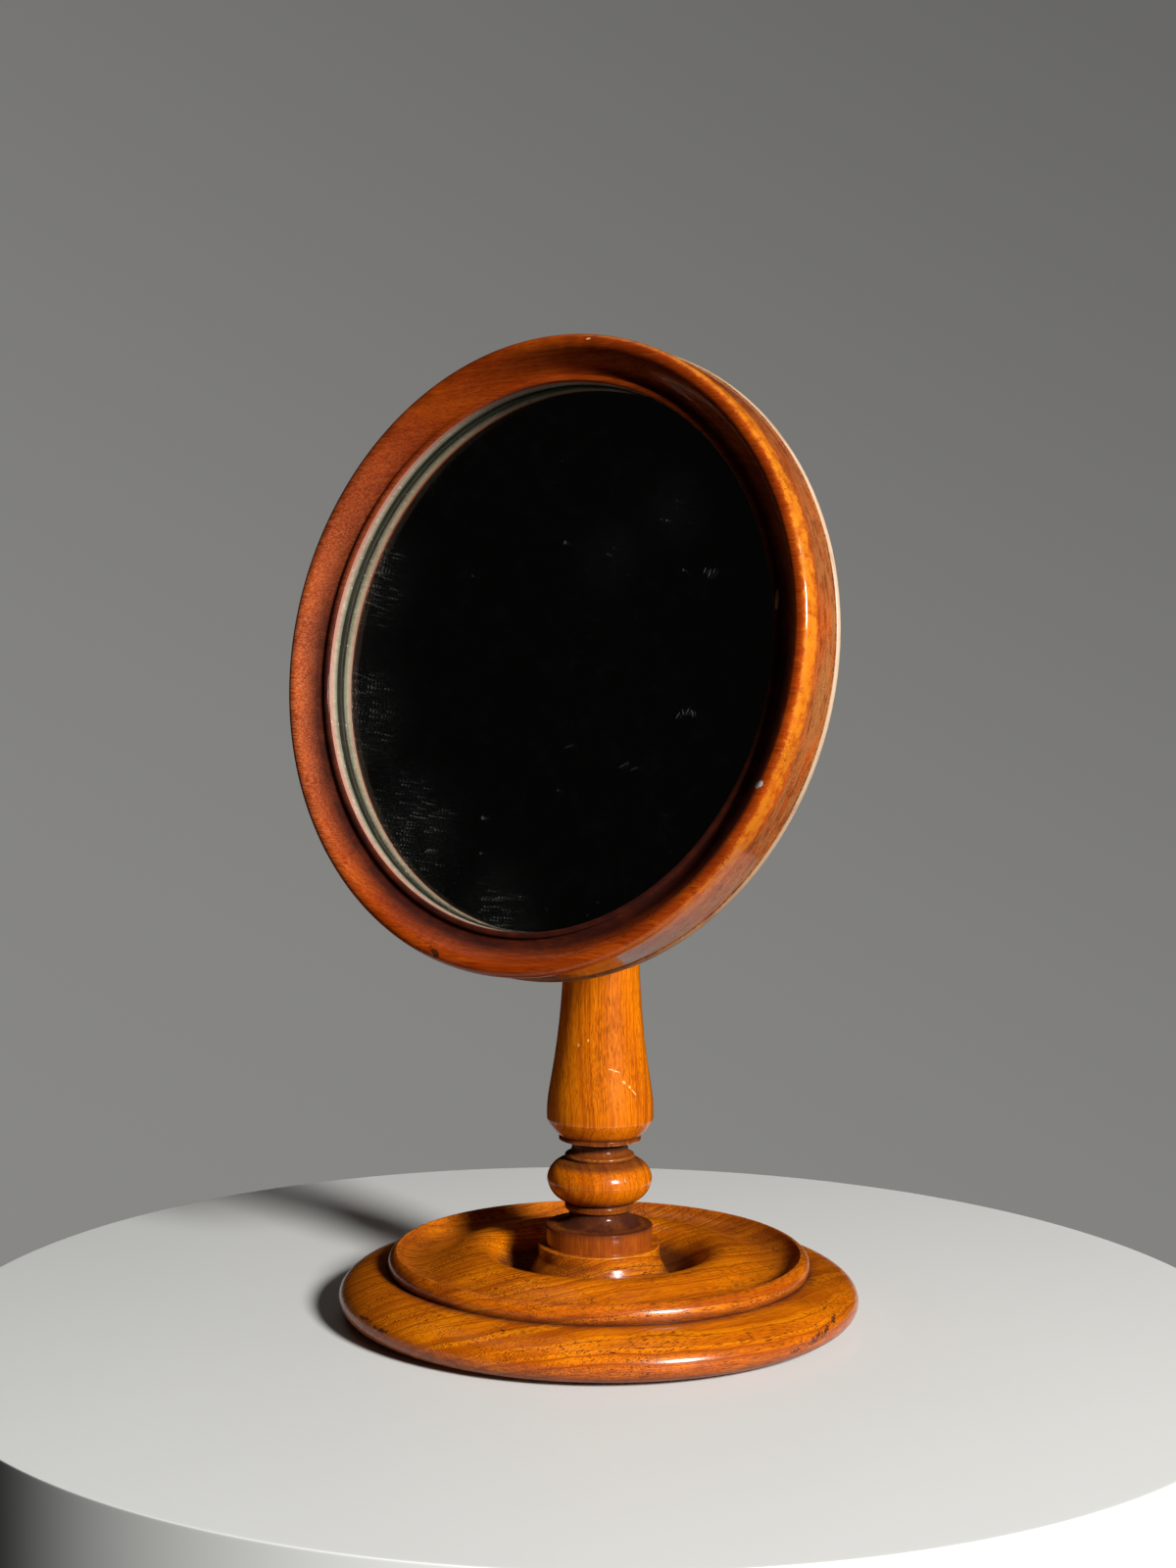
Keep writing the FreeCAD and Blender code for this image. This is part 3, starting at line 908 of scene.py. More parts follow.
    def _faded(
        self, graph: Graph, place: Socket, tint: Paint, fibre: Socket, wear_and_lit: Socket
    ) -> tuple[Socket, Socket]:
        """Fade and stain the polish in blots, pale the rim where it is unpolished and lit, and paint one side
        in the side tint, a painted shade when dark and a painted sheen when pale.

        Args:
            graph: Node tree to build in.
            place: Millimetres in the plank's frame.
            tint: Colour of the fresh wood.
            fibre: Fibres of the wood.
            wear_and_lit: Share of wear on each side, higher on a side painted as lit.

        Returns:
            The colour, and how much the polish has faded.
        """
        faded, blot = graph.attribute("fade"), graph.pattern(place, self.BLOT)
        patch = graph.remap(blot, 0.38, 0.56, self.fade_patch, 1.0)
        fade = graph.times(graph.math("MINIMUM", faded, 1.0), patch)
        shade = dimmed(self.fade_tint, self.BLOOM_SHADE)
        bloom = graph.mix(graph.remap(fibre, 0.3, 0.7), shade, self.fade_tint)
        tint = graph.mix(graph.times(fade, 0.9), tint, bloom)
        stain = graph.remap(graph.pattern(place, self.STAIN), 0.45, 0.66)
        stain = graph.times(graph.math("MINIMUM", faded, self.stain_share), stain)
        tint = graph.mix(stain, tint, self.pore_tint)
        # The pale rim is partly unpolished wood and partly a painted highlight, kept to the lit side.
        if self.bare_and_lit_rim:
            reach = graph.vector("LENGTH", graph.stretch(place, (1.0, 1.0, 0.0)))
            bare_and_lit = graph.times(graph.remap(reach, self.bare_and_lit_rim - self.RIM_FRAY, self.bare_and_lit_rim), wear_and_lit)
            bare_and_lit = graph.times(bare_and_lit, graph.remap(blot, 0.34, 0.50, 0.5, 0.9))
            tint = graph.mix(bare_and_lit, tint, self.pale_tint)
        # Painted light: one side takes the side tint, a painted shade where the tint is dark and a painted
        # sheen where it is pale.
        painted_light = graph.sided(place, self.painted_light_side, self.painted_light_least)
        painted_light = graph.times(painted_light, graph.remap(fibre, 0.42, 0.60, 0.05, 0.65))
        return graph.mix(painted_light, tint, self.painted_light_tint), fade

    def _soiled(
        self, graph: Graph, place: Socket, tint: Paint, pore: Socket, wear_and_lit: Socket
    ) -> tuple[Socket, Socket, Socket]:
        """Lay grime on the polish, paint shade toward one side and rub its arrises, more on a lit side where
        one is set.

        Args:
            graph: Node tree to build in.
            place: Millimetres in the plank's frame.
            tint: Colour of the faded wood.
            pore: A number that is 1 in a pore.
            wear_and_lit: Share of wear on each side, higher on a side painted as lit.

        Returns:
            The colour, the grime and the clouds in it.
        """
        cloud, lodged = graph.pattern(place, self.CLOUD), graph.attribute("grime")
        grime = graph.times(lodged, graph.remap(cloud, 0.25, 0.6, 0.85, 1.0))
        grime = graph.times(grime, graph.inverse(graph.sided(place, self.clean_side)))
        tint = graph.mix(graph.times(grime, 0.95, True), tint, self.grime_tint)
        # Painted shade: the growth lines' dark colour grows toward one side, away from the lodged grime.
        painted_shade = graph.times(graph.sided(place, self.shaded_side), graph.inverse(lodged))
        painted_shade = graph.times(painted_shade, graph.remap(cloud, 0.3, 0.6, 0.4, 1.0))
        tint = graph.mix(painted_shade, tint, self._line_tint())
        scuff = graph.pattern(place, self.SCUFF)
        rub = graph.blend(((graph.attribute("wear"), 1.0), (scuff, 1.6), (pore, -0.3)))
        rub = graph.times(graph.remap(rub, 1.35, 1.95, 0.0, 0.62), wear_and_lit)
        return graph.mix(rub, tint, self.wear_tint), grime, cloud

    def _marked(self, graph: Graph, tint: Paint, pore: Socket) -> tuple[Paint, Socket]:
        """Add the chips, dents and scratches.

        Args:
            graph: Node tree to build in.
            tint: Colour of the wood.
            pore: A number that is 1 in a pore.

        Returns:
            The colour, and a number that is 1 in a pore or a mark.
        """
        hurt = pore
        if self.marks:
            around = graph.local(Plank())
            fray = graph.pattern(around, self.FRAY)
            for mark in self.marks:
                spot = mark.mask(graph, around, fray)
                tint = graph.mix(spot, tint, mark.tint)
                hurt = graph.math("MAXIMUM", hurt, spot)
        return tint, hurt

    def material(self) -> bpy.types.Material:
        """Build the finish.

        Returns:
            The material.
        """
        graph = Finish(self.name)
        place = graph.local(self.plank)
        tint, season, fibre = self._growth(graph, place)
        pore = self._pores(graph, place, season)
        tint = graph.mix(graph.times(pore, self.pore_share), tint, self.pore_tint)
        # Share of wear on each side; where a side is set, it also paints that side as lit.
        wear_and_lit = graph.sided(place, self.wear_and_lit_side, self.wear_and_lit_least)
        tint, fade = self._faded(graph, place, tint, fibre, wear_and_lit)
        tint, grime, cloud = self._soiled(graph, place, tint, pore, wear_and_lit)
        tint, hurt = self._marked(graph, tint, pore)
        rough = graph.blend(((cloud, 0.22), (grime, 0.20), (fade, 0.12), (hurt, 0.15)))
        skin = graph.bump(graph.pattern(place, self.RIPPLE), self.RIPPLE_DEPTH)
        return graph.surface(
            Base_Color=tint,
            Roughness=graph.math("ADD", rough, self.rough - 0.11),
            Specular_IOR_Level=0.04,
            Normal=graph.bump(graph.math("SUBTRACT", graph.times(fibre, 0.4), hurt), self.BODY_DEPTH),
            Coat_Weight=graph.remap(grime, 0.0, 0.8, self.coat, self.coat * 0.25),
            Coat_Roughness=self.coat_rough,
            Coat_IOR=1.4,
            Coat_Normal=graph.bump(graph.inverse(hurt), self.SKIN_DEPTH, skin),
        )


SCAR = (0.070, 0.018, 0.006)
BARE = (0.72, 0.36, 0.12)
BASE_MARKS = (
    Mark((92.6, 10.9, 10.8), (-0.2, 0.9, 0.5), 12.0, 2.3, SCAR, 7.0),
    Mark((94.2, 3.5, 9.0), (-0.1, 0.9, 0.4), 10.0, 1.9, SCAR, 7.0),
    Mark((94.6, -4.4, 7.6), (-0.1, 0.95, 0.3), 12.0, 2.2, SCAR, 7.0),
    Mark((93.0, -14.5, 6.2), (-0.1, 0.95, 0.2), 11.0, 1.8, SCAR, 7.0),
    Mark((-36.7, -86.5, 9.8), (0.9, -0.3, 0.0), 11.0, 1.7, SCAR, 7.0),
    Mark((-25.5, -90.9, 8.8), (0.9, -0.3, 0.0), 10.0, 1.8, SCAR, 7.0),
    Mark((86.5, -30.3, 11.9), (6.7, 3.0, -4.8), 9.0, 0.7, SCAR, 0.5),
    Mark((83.8, -30.4, 13.7), (0.6, 0.9, -0.2), 3.0, 0.7, SCAR, 0.5),
    Mark((20.7, -82.6, 15.3), (0.8, -0.2, -0.4), 3.0, 1.2, SCAR, 0.8),
    Mark((57.8, -71.4, 12.1), (0.9, 0.4, 0.0), 3.6, 0.8, SCAR, 0.8),
)
COLUMN_MARKS = (
    Mark((13.6, -10.5, 91.2), (3.7, 4.4, -2.0), 7.5, 0.5, BARE, 0.4),
    Mark((16.1, -7.9, 86.9), (0.2, 0.5, -0.8), 1.9, 1.3, BARE),
    Mark((17.2, -5.9, 85.0), (0.2, 0.5, -0.8), 1.6, 1.2, BARE),
    Mark((18.1, -4.3, 83.0), (1.4, 3.0, -3.5), 4.5, 0.6, BARE),
    Mark((1.8, -15.9, 99.8), (0.0, 0.0, 1.0), 1.5, 0.9, BARE),
    Mark((5.3, -14.9, 101.8), (0.0, 0.0, 1.0), 1.5, 0.9, BARE),
)
FRAME_MARKS = (
    Mark((-26.8, -62.2, 135.0), (0.8, 0.0, -0.6), 5.6, 3.0, SCAR, 1.6),
    Mark((-29.2, -61.8, 137.0), (0.6, 0.0, 0.8), 3.2, 0.9, SCAR, 0.8),
    Mark((14.8, -31.6, 348.1), (1.0, 0.0, 0.0), 2.6, 1.0, BARE),
    Mark((96.6, -38.9, 257.0), (0.0, 0.15, 1.0), 9.0, 1.6, BARE, 1.8),
    Mark((98.9, -52.9, 197.9), (0.9, 0.0, 0.3), 5.6, 2.8, (0.66, 0.62, 0.58), 1.2),
)


@dataclass(frozen=True)
class AgedBrass:
    """Old brass, browned in patches, with fine rub marks."""

    PATCH = Pattern((0.35, 0.35, 0.35), 5.0, 0.6)
    RUBS = Pattern((0.5, 6.0, 0.9), 3.0, 0.7)

    name: str
    bright: Triple = (0.62, 0.42, 0.15)
    brown: Triple = (0.20, 0.115, 0.045)
    rough: float = 0.30

    def material(self) -> bpy.types.Material:
        """Build the finish.

        Returns:
            The material.
        """
        graph = Finish(self.name)
        place = graph.local(MIRROR_PLANK)
        patch, rubs = graph.pattern(place, self.PATCH), graph.pattern(place, self.RUBS)
        spot = graph.dots(place, (0.9, 0.9, 0.9), (0.12, 0.3), (0.6, 0.8))
        age = graph.math("ADD", graph.remap(patch, 0.36, 0.68), graph.times(spot, 0.5), True)
        rough = graph.math("ADD", graph.blend(((age, 0.25), (rubs, 0.16))), self.rough - 0.08)
        tint = graph.mix(age, self.bright, self.brown)
        return graph.surface(Base_Color=tint, Metallic=0.7, Roughness=rough, Normal=graph.bump(rubs, 0.012))


@dataclass(frozen=True)
class BluedSteel:
    """Blued steel, worn and specked with rust."""

    PATCH = Pattern((0.5, 0.5, 0.5), 5.0, 0.65)

    name: str
    blued: Triple = (0.19, 0.20, 0.22)
    rusty: Triple = (0.16, 0.07, 0.03)

    def material(self) -> bpy.types.Material:
        """Build the finish.

        Returns:
            The material.
        """
        graph = Finish(self.name)
        patch = graph.remap(graph.pattern(graph.local(Plank()), self.PATCH), 0.45, 0.66)
        tint = graph.mix(patch, self.blued, self.rusty)
        rough = graph.math("ADD", graph.times(patch, 0.35), 0.32)
        metal = graph.inverse(graph.times(patch, 0.8))
        return graph.surface(Base_Color=tint, Metallic=metal, Roughness=rough, Normal=graph.bump(patch, 0.03))


@dataclass(frozen=True)
class PaleSlip:
    """Cream slip, yellowed and soiled in streaks, rosy along its front edge, with a painted green shade along
    its foot.
    """

    STREAK = Pattern((0.9, 0.9, 0.2), 4.0, 0.65)
    PATCH = Pattern((0.12, 0.12, 0.12), 3.0)

    name: str
    clean: Triple = (0.36, 0.29, 0.21)
    soiled: Triple = (0.24, 0.15, 0.105)
    rosy: Triple = (0.36, 0.16, 0.115)
    # Painted shade: the dark green of the gap seen through the glass, laid along the slip's foot.
    green_shade: Triple = (0.085, 0.095, 0.058)
    glint: Triple = (0.80, 0.82, 0.74)

    def material(self) -> bpy.types.Material:
        """Build the finish.

        Returns:
            The material.
        """
        graph = Finish(self.name)
        place = graph.local(MIRROR_PLANK)
        streak, patch = graph.pattern(place, self.STREAK), graph.pattern(place, self.PATCH)
        soil = graph.blend(((graph.remap(streak, 0.42, 0.68), 0.5), (graph.remap(patch, 0.42, 0.66), 0.35)))
        soil = graph.math("ADD", soil, graph.times(graph.attribute("wear"), 0.5), True)
        tint = graph.mix(soil, self.clean, self.soiled)
        tint = graph.mix(graph.attribute("fade"), tint, self.rosy)
        # Painted green shade along the slip's foot, carried in the grime attribute.
        tint = graph.mix(graph.attribute("grime"), tint, self.green_shade)
        glint = graph.dots(place, (0.55, 0.55, 0.9), (0.10, 0.26), (0.70, 0.80))
        tint = graph.mix(graph.times(glint, 0.6), tint, self.glint)
        rough = graph.math("ADD", graph.times(streak, 0.3), 0.32)
        skin = graph.bump(streak, 0.05)
        return graph.surface(Base_Color=tint, Roughness=rough, Specular_IOR_Level=0.3, Normal=skin)


@dataclass(frozen=True)
class OldGlass:
    """Old plate glass with dust, dried spots and small scratches on its face."""

    FILM = Pattern((0.11, 0.11, 1.0), 4.0, 0.65)
    GRIT = Pattern((1.1, 1.1, 1.0), 3.0, 0.7)
    FINE_SPECKS = (0.85, 0.22)
    COARSE_SPECKS = (0.30, 0.11)
    STROKE_WIDTH = 0.3
    STROKE_RAGGED = 0.6

    name: str
    tint: Triple = (0.93, 0.965, 0.93)
    dust: Triple = (0.50, 0.51, 0.50)
    dusty: tuple[tuple[float, float, float, float], ...] = (
        (-92.0, 30.0, 40.0, 1.0),
        (-88.0, -22.0, 40.0, 0.9),
        (-56.0, -66.0, 38.0, 0.9),
        (-10.0, -92.0, 30.0, 0.6),
        (52.0, 52.0, 22.0, 0.45),
        (24.0, 34.0, 20.0, 0.4),
    )
    spots: tuple[Triple, ...] = (
        (23.8, 35.6, 0.55),
        (55.6, 29.4, 0.55),
        (-35.5, 29.4, 0.5),
        (-19.5, -69.9, 0.6),
        (11.9, -46.5, 0.45),
        (-20.1, -57.4, 0.9),
        (4.7, 40.3, 0.8),
    )
    strokes: tuple[tuple[Pair, Pair, float, float], ...] = (
        ((58.8, -19.6), (0.6, 1.0), 3.2, 0.13),
        ((60.7, -18.6), (0.5, -1.0), 2.8, 0.13),
        ((62.4, -18.2), (0.6, 1.0), 3.2, 0.13),
        ((64.4, -19.0), (0.4, -1.0), 3.2, 0.13),
        ((64.2, 29.0), (0.4, 1.0), 3.0, 0.16),
        ((66.2, 28.0), (0.3, 1.0), 3.8, 0.20),
        ((68.0, 28.8), (0.3, 1.0), 2.4, 0.14),
        ((14.8, -31.1), (1.0, 0.4), 5.0, 0.05),
        ((38.6, -36.9), (1.0, 0.5), 6.0, 0.06),
        ((43.0, -38.0), (1.0, 0.5), 4.0, 0.05),
    )

    def material(self) -> bpy.types.Material:
        """Build the finish.

        Returns:
            The material.
        """
        graph = Finish(self.name)
        flat = graph.stretch(graph.local(MIRROR_PLANK), (1.0, 1.0, 0.0))
        film, grit = graph.pattern(flat, self.FILM), graph.pattern(flat, self.GRIT)
        heavy = graph.remap(film, 0.50, 0.75, 0.02, 0.35)
        for across, up, reach, share in self.dusty:
            away = graph.vector("DISTANCE", flat, (across, up, 0.0))
            heavy = graph.math("MAXIMUM", heavy, graph.remap(away, 0.1 * reach, reach, share, 0.0))
        heavy = graph.times(heavy, graph.remap(film, 0.32, 0.55, 0.45, 1.0))
        fine = self._specks(graph, flat, heavy, *self.FINE_SPECKS)
        coarse = self._specks(graph, flat, heavy, *self.COARSE_SPECKS)
        veil = graph.blend(((fine, 0.34), (coarse, 0.34), (heavy, 0.004)))
        for across, up, reach in self.spots:
            away = graph.vector("DISTANCE", flat, (across, up, 0.0))
            away = graph.math("ADD", away, graph.times(grit, 0.5))
            veil = graph.math("MAXIMUM", veil, graph.remap(away, reach * 0.7, reach + 0.3, 0.06, 0.0))
        for spot, way, length, share in self.strokes:
            stroke = Mark((*spot, 0.0), (*way, 0.0), length, self.STROKE_WIDTH, self.dust, self.STROKE_RAGGED)
            veil = graph.math("MAXIMUM", veil, graph.times(stroke.mask(graph, flat, grit), share))
        return graph.surface(
            Base_Color=graph.mix(veil, self.tint, self.dust),
            Roughness=graph.times(veil, 0.6),
            IOR=1.5,
            Transmission_Weight=graph.inverse(veil),
        )

    @staticmethod
    def _specks(graph: Graph, flat: Socket, heavy: Socket, density: float, largest: float) -> Socket:
        """Scatter specks of dust.

        Args:
            graph: Node tree to build in.
            flat: Millimetres on the face of the glass.
            heavy: How heavy the dust lies.
            density: Specks per millimetre.
            largest: Greatest radius of a speck, as a share of its cell.

        Returns:
            A number that is 1 in a speck.
        """
        near, draw = graph.cells(flat, (density, density, 1.0))
        size = graph.remap(graph.math("ADD", draw, heavy), 0.9, 1.5, 0.0, largest)
        return graph.remap(graph.math("SUBTRACT", near, size), -0.08, 0.0, 1.0, 0.0)


@dataclass(frozen=True)
class FoxedSilver:
    """Silvering behind the glass, foxed here and there, with a dull green edge that is partly decay and partly
    a painted stand-in for the green light in the glass's edge.
    """

    PATCH = Pattern((0.45, 0.45, 1.0), 4.0, 0.6)

    name: str
    bright: Triple = (0.86, 0.87, 0.85)
    foxed: Triple = (0.05, 0.04, 0.03)
    dulled_and_edge_light: Triple = (0.075, 0.098, 0.050)
    sight: float = 96.0
    dull_width: float = 0.9
    foxing: Pair = (75.0, 100.0)

    def material(self) -> bpy.types.Material:
        """Build the finish.

        Returns:
            The material.
        """
        graph = Finish(self.name)
        flat = graph.stretch(graph.local(MIRROR_PLANK), (1.0, 1.0, 0.0))
        reach, patch = graph.vector("LENGTH", flat), graph.pattern(flat, self.PATCH)
        loss = graph.remap(graph.math("ADD", patch, graph.remap(reach, *self.foxing, 0.0, 0.05)), 0.70, 0.78)
        edge = graph.math("ADD", reach, graph.times(patch, 0.8))
        edge = graph.remap(edge, self.sight, self.sight + self.dull_width)
        # The edge tint is partly decayed silver, partly a painted stand-in for the green light in the glass's
        # edge.
        tint = graph.mix(edge, graph.mix(loss, self.bright, self.foxed), self.dulled_and_edge_light)
        loss = graph.math("MAXIMUM", graph.times(loss, 0.7), graph.times(edge, 0.9))
        rough = graph.math("ADD", graph.times(loss, 0.6), 0.015)
        return graph.surface(Base_Color=tint, Metallic=graph.inverse(loss), Roughness=rough)


@dataclass(frozen=True)
class Woolly:
    """Napped or fibrous sheet: cloth, leather or paper."""

    PATCH = Pattern((0.06, 0.06, 0.06), 3.0)

    name: str
    light: Triple
    dark: Triple
    grain: float
    depth: float
    sheen: float
    rough: float

    def material(self) -> bpy.types.Material:
        """Build the finish.

        Returns:
            The material.
        """
        graph = Finish(self.name)
        place = graph.local(Plank())
        nap = graph.pattern(place, Pattern((1 / self.grain,) * 3, 5.0, 0.7))
        tone = graph.blend(((nap, 0.6), (graph.pattern(place, self.PATCH), 0.4)))
        tint = graph.mix(graph.remap(tone, 0.36, 0.64), self.dark, self.light)
        skin = graph.bump(nap, self.depth)
        return graph.surface(Base_Color=tint, Roughness=self.rough, Sheen_Weight=self.sheen, Normal=skin)


class ScrewCircle:
    """Geometry Nodes tree that sets screws on a circle, each with its slot turned by chance."""

    INPUTS = (
        ("Screw", "NodeSocketObject"),
        ("Count", "NodeSocketInt"),
        ("Circle radius", "NodeSocketFloat"),
        ("Start angle", "NodeSocketFloat"),
        ("Seed", "NodeSocketInt"),
        ("Finish", "NodeSocketMaterial"),
    )

    def __init__(self) -> None:
        """Build the tree."""
        self.tree = bpy.data.node_groups.new("screw circle", "GeometryNodeTree")
        face = self.tree.interface
        face.new_socket("Geometry", in_out="INPUT", socket_type="NodeSocketGeometry")
        self.keys: dict[str, str] = {}
        for label, kind in self.INPUTS:
            self.keys[label] = face.new_socket(label, in_out="INPUT", socket_type=kind).identifier
        face.new_socket("Geometry", in_out="OUTPUT", socket_type="NodeSocketGeometry")
        add, link = self.tree.nodes.new, self.tree.links.new
        given, result = add("NodeGroupInput"), add("NodeGroupOutput")
        circle, turn = add("GeometryNodeMeshCircle"), add("GeometryNodeTransform")
        start, slots = add("ShaderNodeCombineXYZ"), add("ShaderNodeCombineXYZ")
        chance, source = add("FunctionNodeRandomValue"), add("GeometryNodeObjectInfo")
        place, real, paint = (
            add("GeometryNodeInstanceOnPoints"),
            add("GeometryNodeRealizeInstances"),
            add("GeometryNodeSetMaterial"),
        )
        chance.data_type = "FLOAT"
        low, high = [socket for socket in chance.inputs if socket.type == "VALUE" and socket.enabled][:2]
        low.default_value, high.default_value = 0.0, math.pi
        link(given.outputs["Count"], circle.inputs["Vertices"])
        link(given.outputs["Circle radius"], circle.inputs["Radius"])
        link(given.outputs["Start angle"], start.inputs["Z"])
        link(circle.outputs["Mesh"], turn.inputs["Geometry"])
        link(start.outputs["Vector"], turn.inputs["Rotation"])
        link(given.outputs["Seed"], chance.inputs["Seed"])
        link([socket for socket in chance.outputs if socket.enabled][0], slots.inputs["Z"])
        link(given.outputs["Screw"], source.inputs["Object"])
        link(turn.outputs["Geometry"], place.inputs["Points"])
        link(source.outputs["Geometry"], place.inputs["Instance"])
        link(slots.outputs["Vector"], place.inputs["Rotation"])
        link(place.outputs["Instances"], real.inputs["Geometry"])
        link(real.outputs["Geometry"], paint.inputs["Geometry"])
        link(given.outputs["Finish"], paint.inputs["Material"])
        link(paint.outputs["Geometry"], result.inputs["Geometry"])

    def set_out(
        self,
        name: str,
        screw: bpy.types.Object,
        count: int,
        radius: float,
        seed: int,
        finish: bpy.types.Material,
    ) -> bpy.types.Object:
        """Set copies of a screw on a circle and make them one plain mesh.

        Args:
            name: Name of the piece.
            screw: Screw with its head at the origin, which is deleted.
            count: Number of screws.
            radius: Radius of the circle, in millimetres.
            seed: Seed of the slots' turns.
            finish: Material of the screws.

        Returns:
            The screws, about the origin.
        """
        piece = linked(name, bpy.data.meshes.new(name))
        step = piece.modifiers.new("screws", "NODES")
        step.node_group = self.tree
        values = (screw, count, radius * MM, math.pi / count, seed, finish)
        for (label, _), value in zip(self.INPUTS, values):
            step[self.keys[label]] = value
        baked(piece)
        bpy.data.objects.remove(screw)
        return piece


@dataclass(frozen=True)
class WoodScrew:
    """Countersunk slotted screw."""

    head: float
    shank: float
    length: float
    slot_width: float = 0.8
    slot_depth: float = 0.8
    dome: float = 0.12
    tip: float = 3.0
    ease: float = 0.06
    facets: int = 40
    crease_deg: float = 40.0

    def build(self) -> bpy.types.Object:
        """Turn one screw along +Z with its head at the origin.

        Returns:
            The screw.
        """
        line = TurnedLine(0.0, 0.0).to(self.head - self.dome, 0.0).quarter(self.head, self.dome, True)
        line.to(self.shank, self.head - self.shank).to(self.shank, self.length - self.tip)
        line.to(self.shank / 3, self.length).to(0.0, self.length)
        screw = lathe("screw", line.softened(self.ease), self.facets)
        reach = 1.5 * self.head
        slot = cut_box((-reach, -self.slot_width / 2, -1.0), (reach, self.slot_width / 2, self.slot_depth))
        return carved(screw, [slot], self.crease_deg)


@dataclass
class Base:
    """Turned base: round lower tier, quirk, rim bead, dished top with a well around a boss, cloth below."""

    radius: float = 94.7
    edge_height: float = 7.2
    foot_radius: float = 87.7
    quirk: Pair = (76.4, 16.4)
    rim: Pair = (74.2, 22.9)
    rim_bulge: float = 1.5
    rim_land: float = 0.7
    dish: tuple[Pair, ...] = ((66.5, 18.2), (46.5, 23.6), (41.0, 22.4), (31.5, 11.6), (22.2, 20.2))
    boss: Pair = (22.2, 24.7)
    mortise: Pair = (9.1, 8.6)
    screw_hole: float = 5.05
    baize_radius: float = 85.5
    baize_thickness: float = 1.2
    baize_gap: float = 0.05
    ease: float = 0.18
    facets: int = 320
    baize_foot: float = 0.1
    baize_rounds: Pair = (0.4, 0.3)
    baize_ease: float = 0.1
    baize_facets: int = 160
    grimy: tuple[Band, ...] = (
        ((23.5, 36.5), (9.0, 20.5), 0.85),
        ((17.0, 24.5), (19.0, 27.0), 0.15),
        ((70.5, 73.2), (16.0, 24.0), 0.45),
        ((75.0, 78.8), (13.6, 18.4), 0.65),
        # This band darkens the lower tier towards its underside.
        ((86.5, 97.0), (0.0, 4.6), 0.5),
    )
    reddened: tuple[Band, ...] = (
        ((72.0, 80.0), (16.0, 26.0), 0.4),
        # This band makes the lower tier darker and redder towards its bottom.
        ((86.0, 98.0), (0.0, 8.5), 0.6),
    )
    edge: float = 3.0
    wood: Mahogany = Mahogany(
        "base mahogany",
        Plank((0.0, 0.0, 0.0), (0.0, 0.0, 71.0), (-90.0, -120.0)),
        fade_tint=(0.44, 0.062, 0.003),
        figure=1.5,
        grain=0.16,
        pore_size=(5.0, 0.5),
        pore_share=0.95,
        coat_rough=0.2,
        # Painted shade: the dish darkens toward one side, and the wood darkens on the side away from the key
        # light.
        shaded_side=(0.0041, -0.0028, 0.0),
        painted_light_side=(-0.0210, 0.0146, 0.0),
        painted_light_least=-1.5,
        painted_light_tint=(0.12, 0.020, 0.001),
        marks=BASE_MARKS,
    )
    cloth: Woolly = Woolly("green baize", (0.045, 0.12, 0.065), (0.015, 0.05, 0.028), 0.35, 0.16, 0.6, 0.95)

    def line(self) -> TurnedLine:
        """Draw the half section of the base.

        Returns:
            The line, to be closed.
        """
        low = self.baize_thickness
        line = TurnedLine(self.screw_hole, low).to(self.foot_radius, low)
        line.quarter(self.radius, self.edge_height, True).quarter(*self.quirk, False)
        line.bow(*self.rim, self.rim_bulge).to(self.rim[0] - self.rim_land, self.rim[1]).through(self.dish)
        line.to(*self.boss).to(self.mortise[0], self.boss[1]).to(*self.mortise)
        return line.to(self.screw_hole, self.mortise[1])

    def build(self) -> None:
        """Turn the base, lay the cloth and dress both."""
        rows = self.line().softened(self.ease, True)
        for shade, bands in ((GRIME, self.grimy), (FADE, self.reddened)):
            for across, up, share in bands:
                rows[:, shade] = np.maximum(rows[:, shade], share * self.band(rows, across, up))
        disc = lathe("turned_base", rows, self.facets, True)
        settle(disc, self.wood.material(), Body.STAND, Slot.TURNED, ["base_disc"])
        self.lay_cloth()

    def band(self, rows: np.ndarray, across: Pair, up: Pair) -> np.ndarray:
        """Shade a band of the half section.

        Args:
            rows: Points of the half section.
            across: Least and greatest radius of the band.
            up: Least and greatest height of the band.

        Returns:
            A number for each point that is 1 well inside the band.
        """
        radius, height = rows[:, RADIUS], rows[:, HEIGHT]
        inside = np.minimum(radius - across[0], across[1] - radius)
        inside = np.minimum(inside, np.minimum(height - up[0], up[1] - height))
        return np.clip(inside / self.edge + 0.5, 0, 1)

    def lay_cloth(self) -> None:
        """Lay the cloth disc under the base.
        """
        low, top = self.baize_foot, self.baize_thickness - self.baize_gap
        edge = zip((self.baize_radius,) * 2, (low, top), self.baize_rounds)
        line = filleted([(0.0, low, 0.0), *edge, (0.0, top, 0.0)])
        piece = lathe("baize_disc", line.softened(self.baize_ease), self.baize_facets)
        settle(piece, self.cloth.material(), Body.STAND, Slot.BAIZE, ["base_baize"])


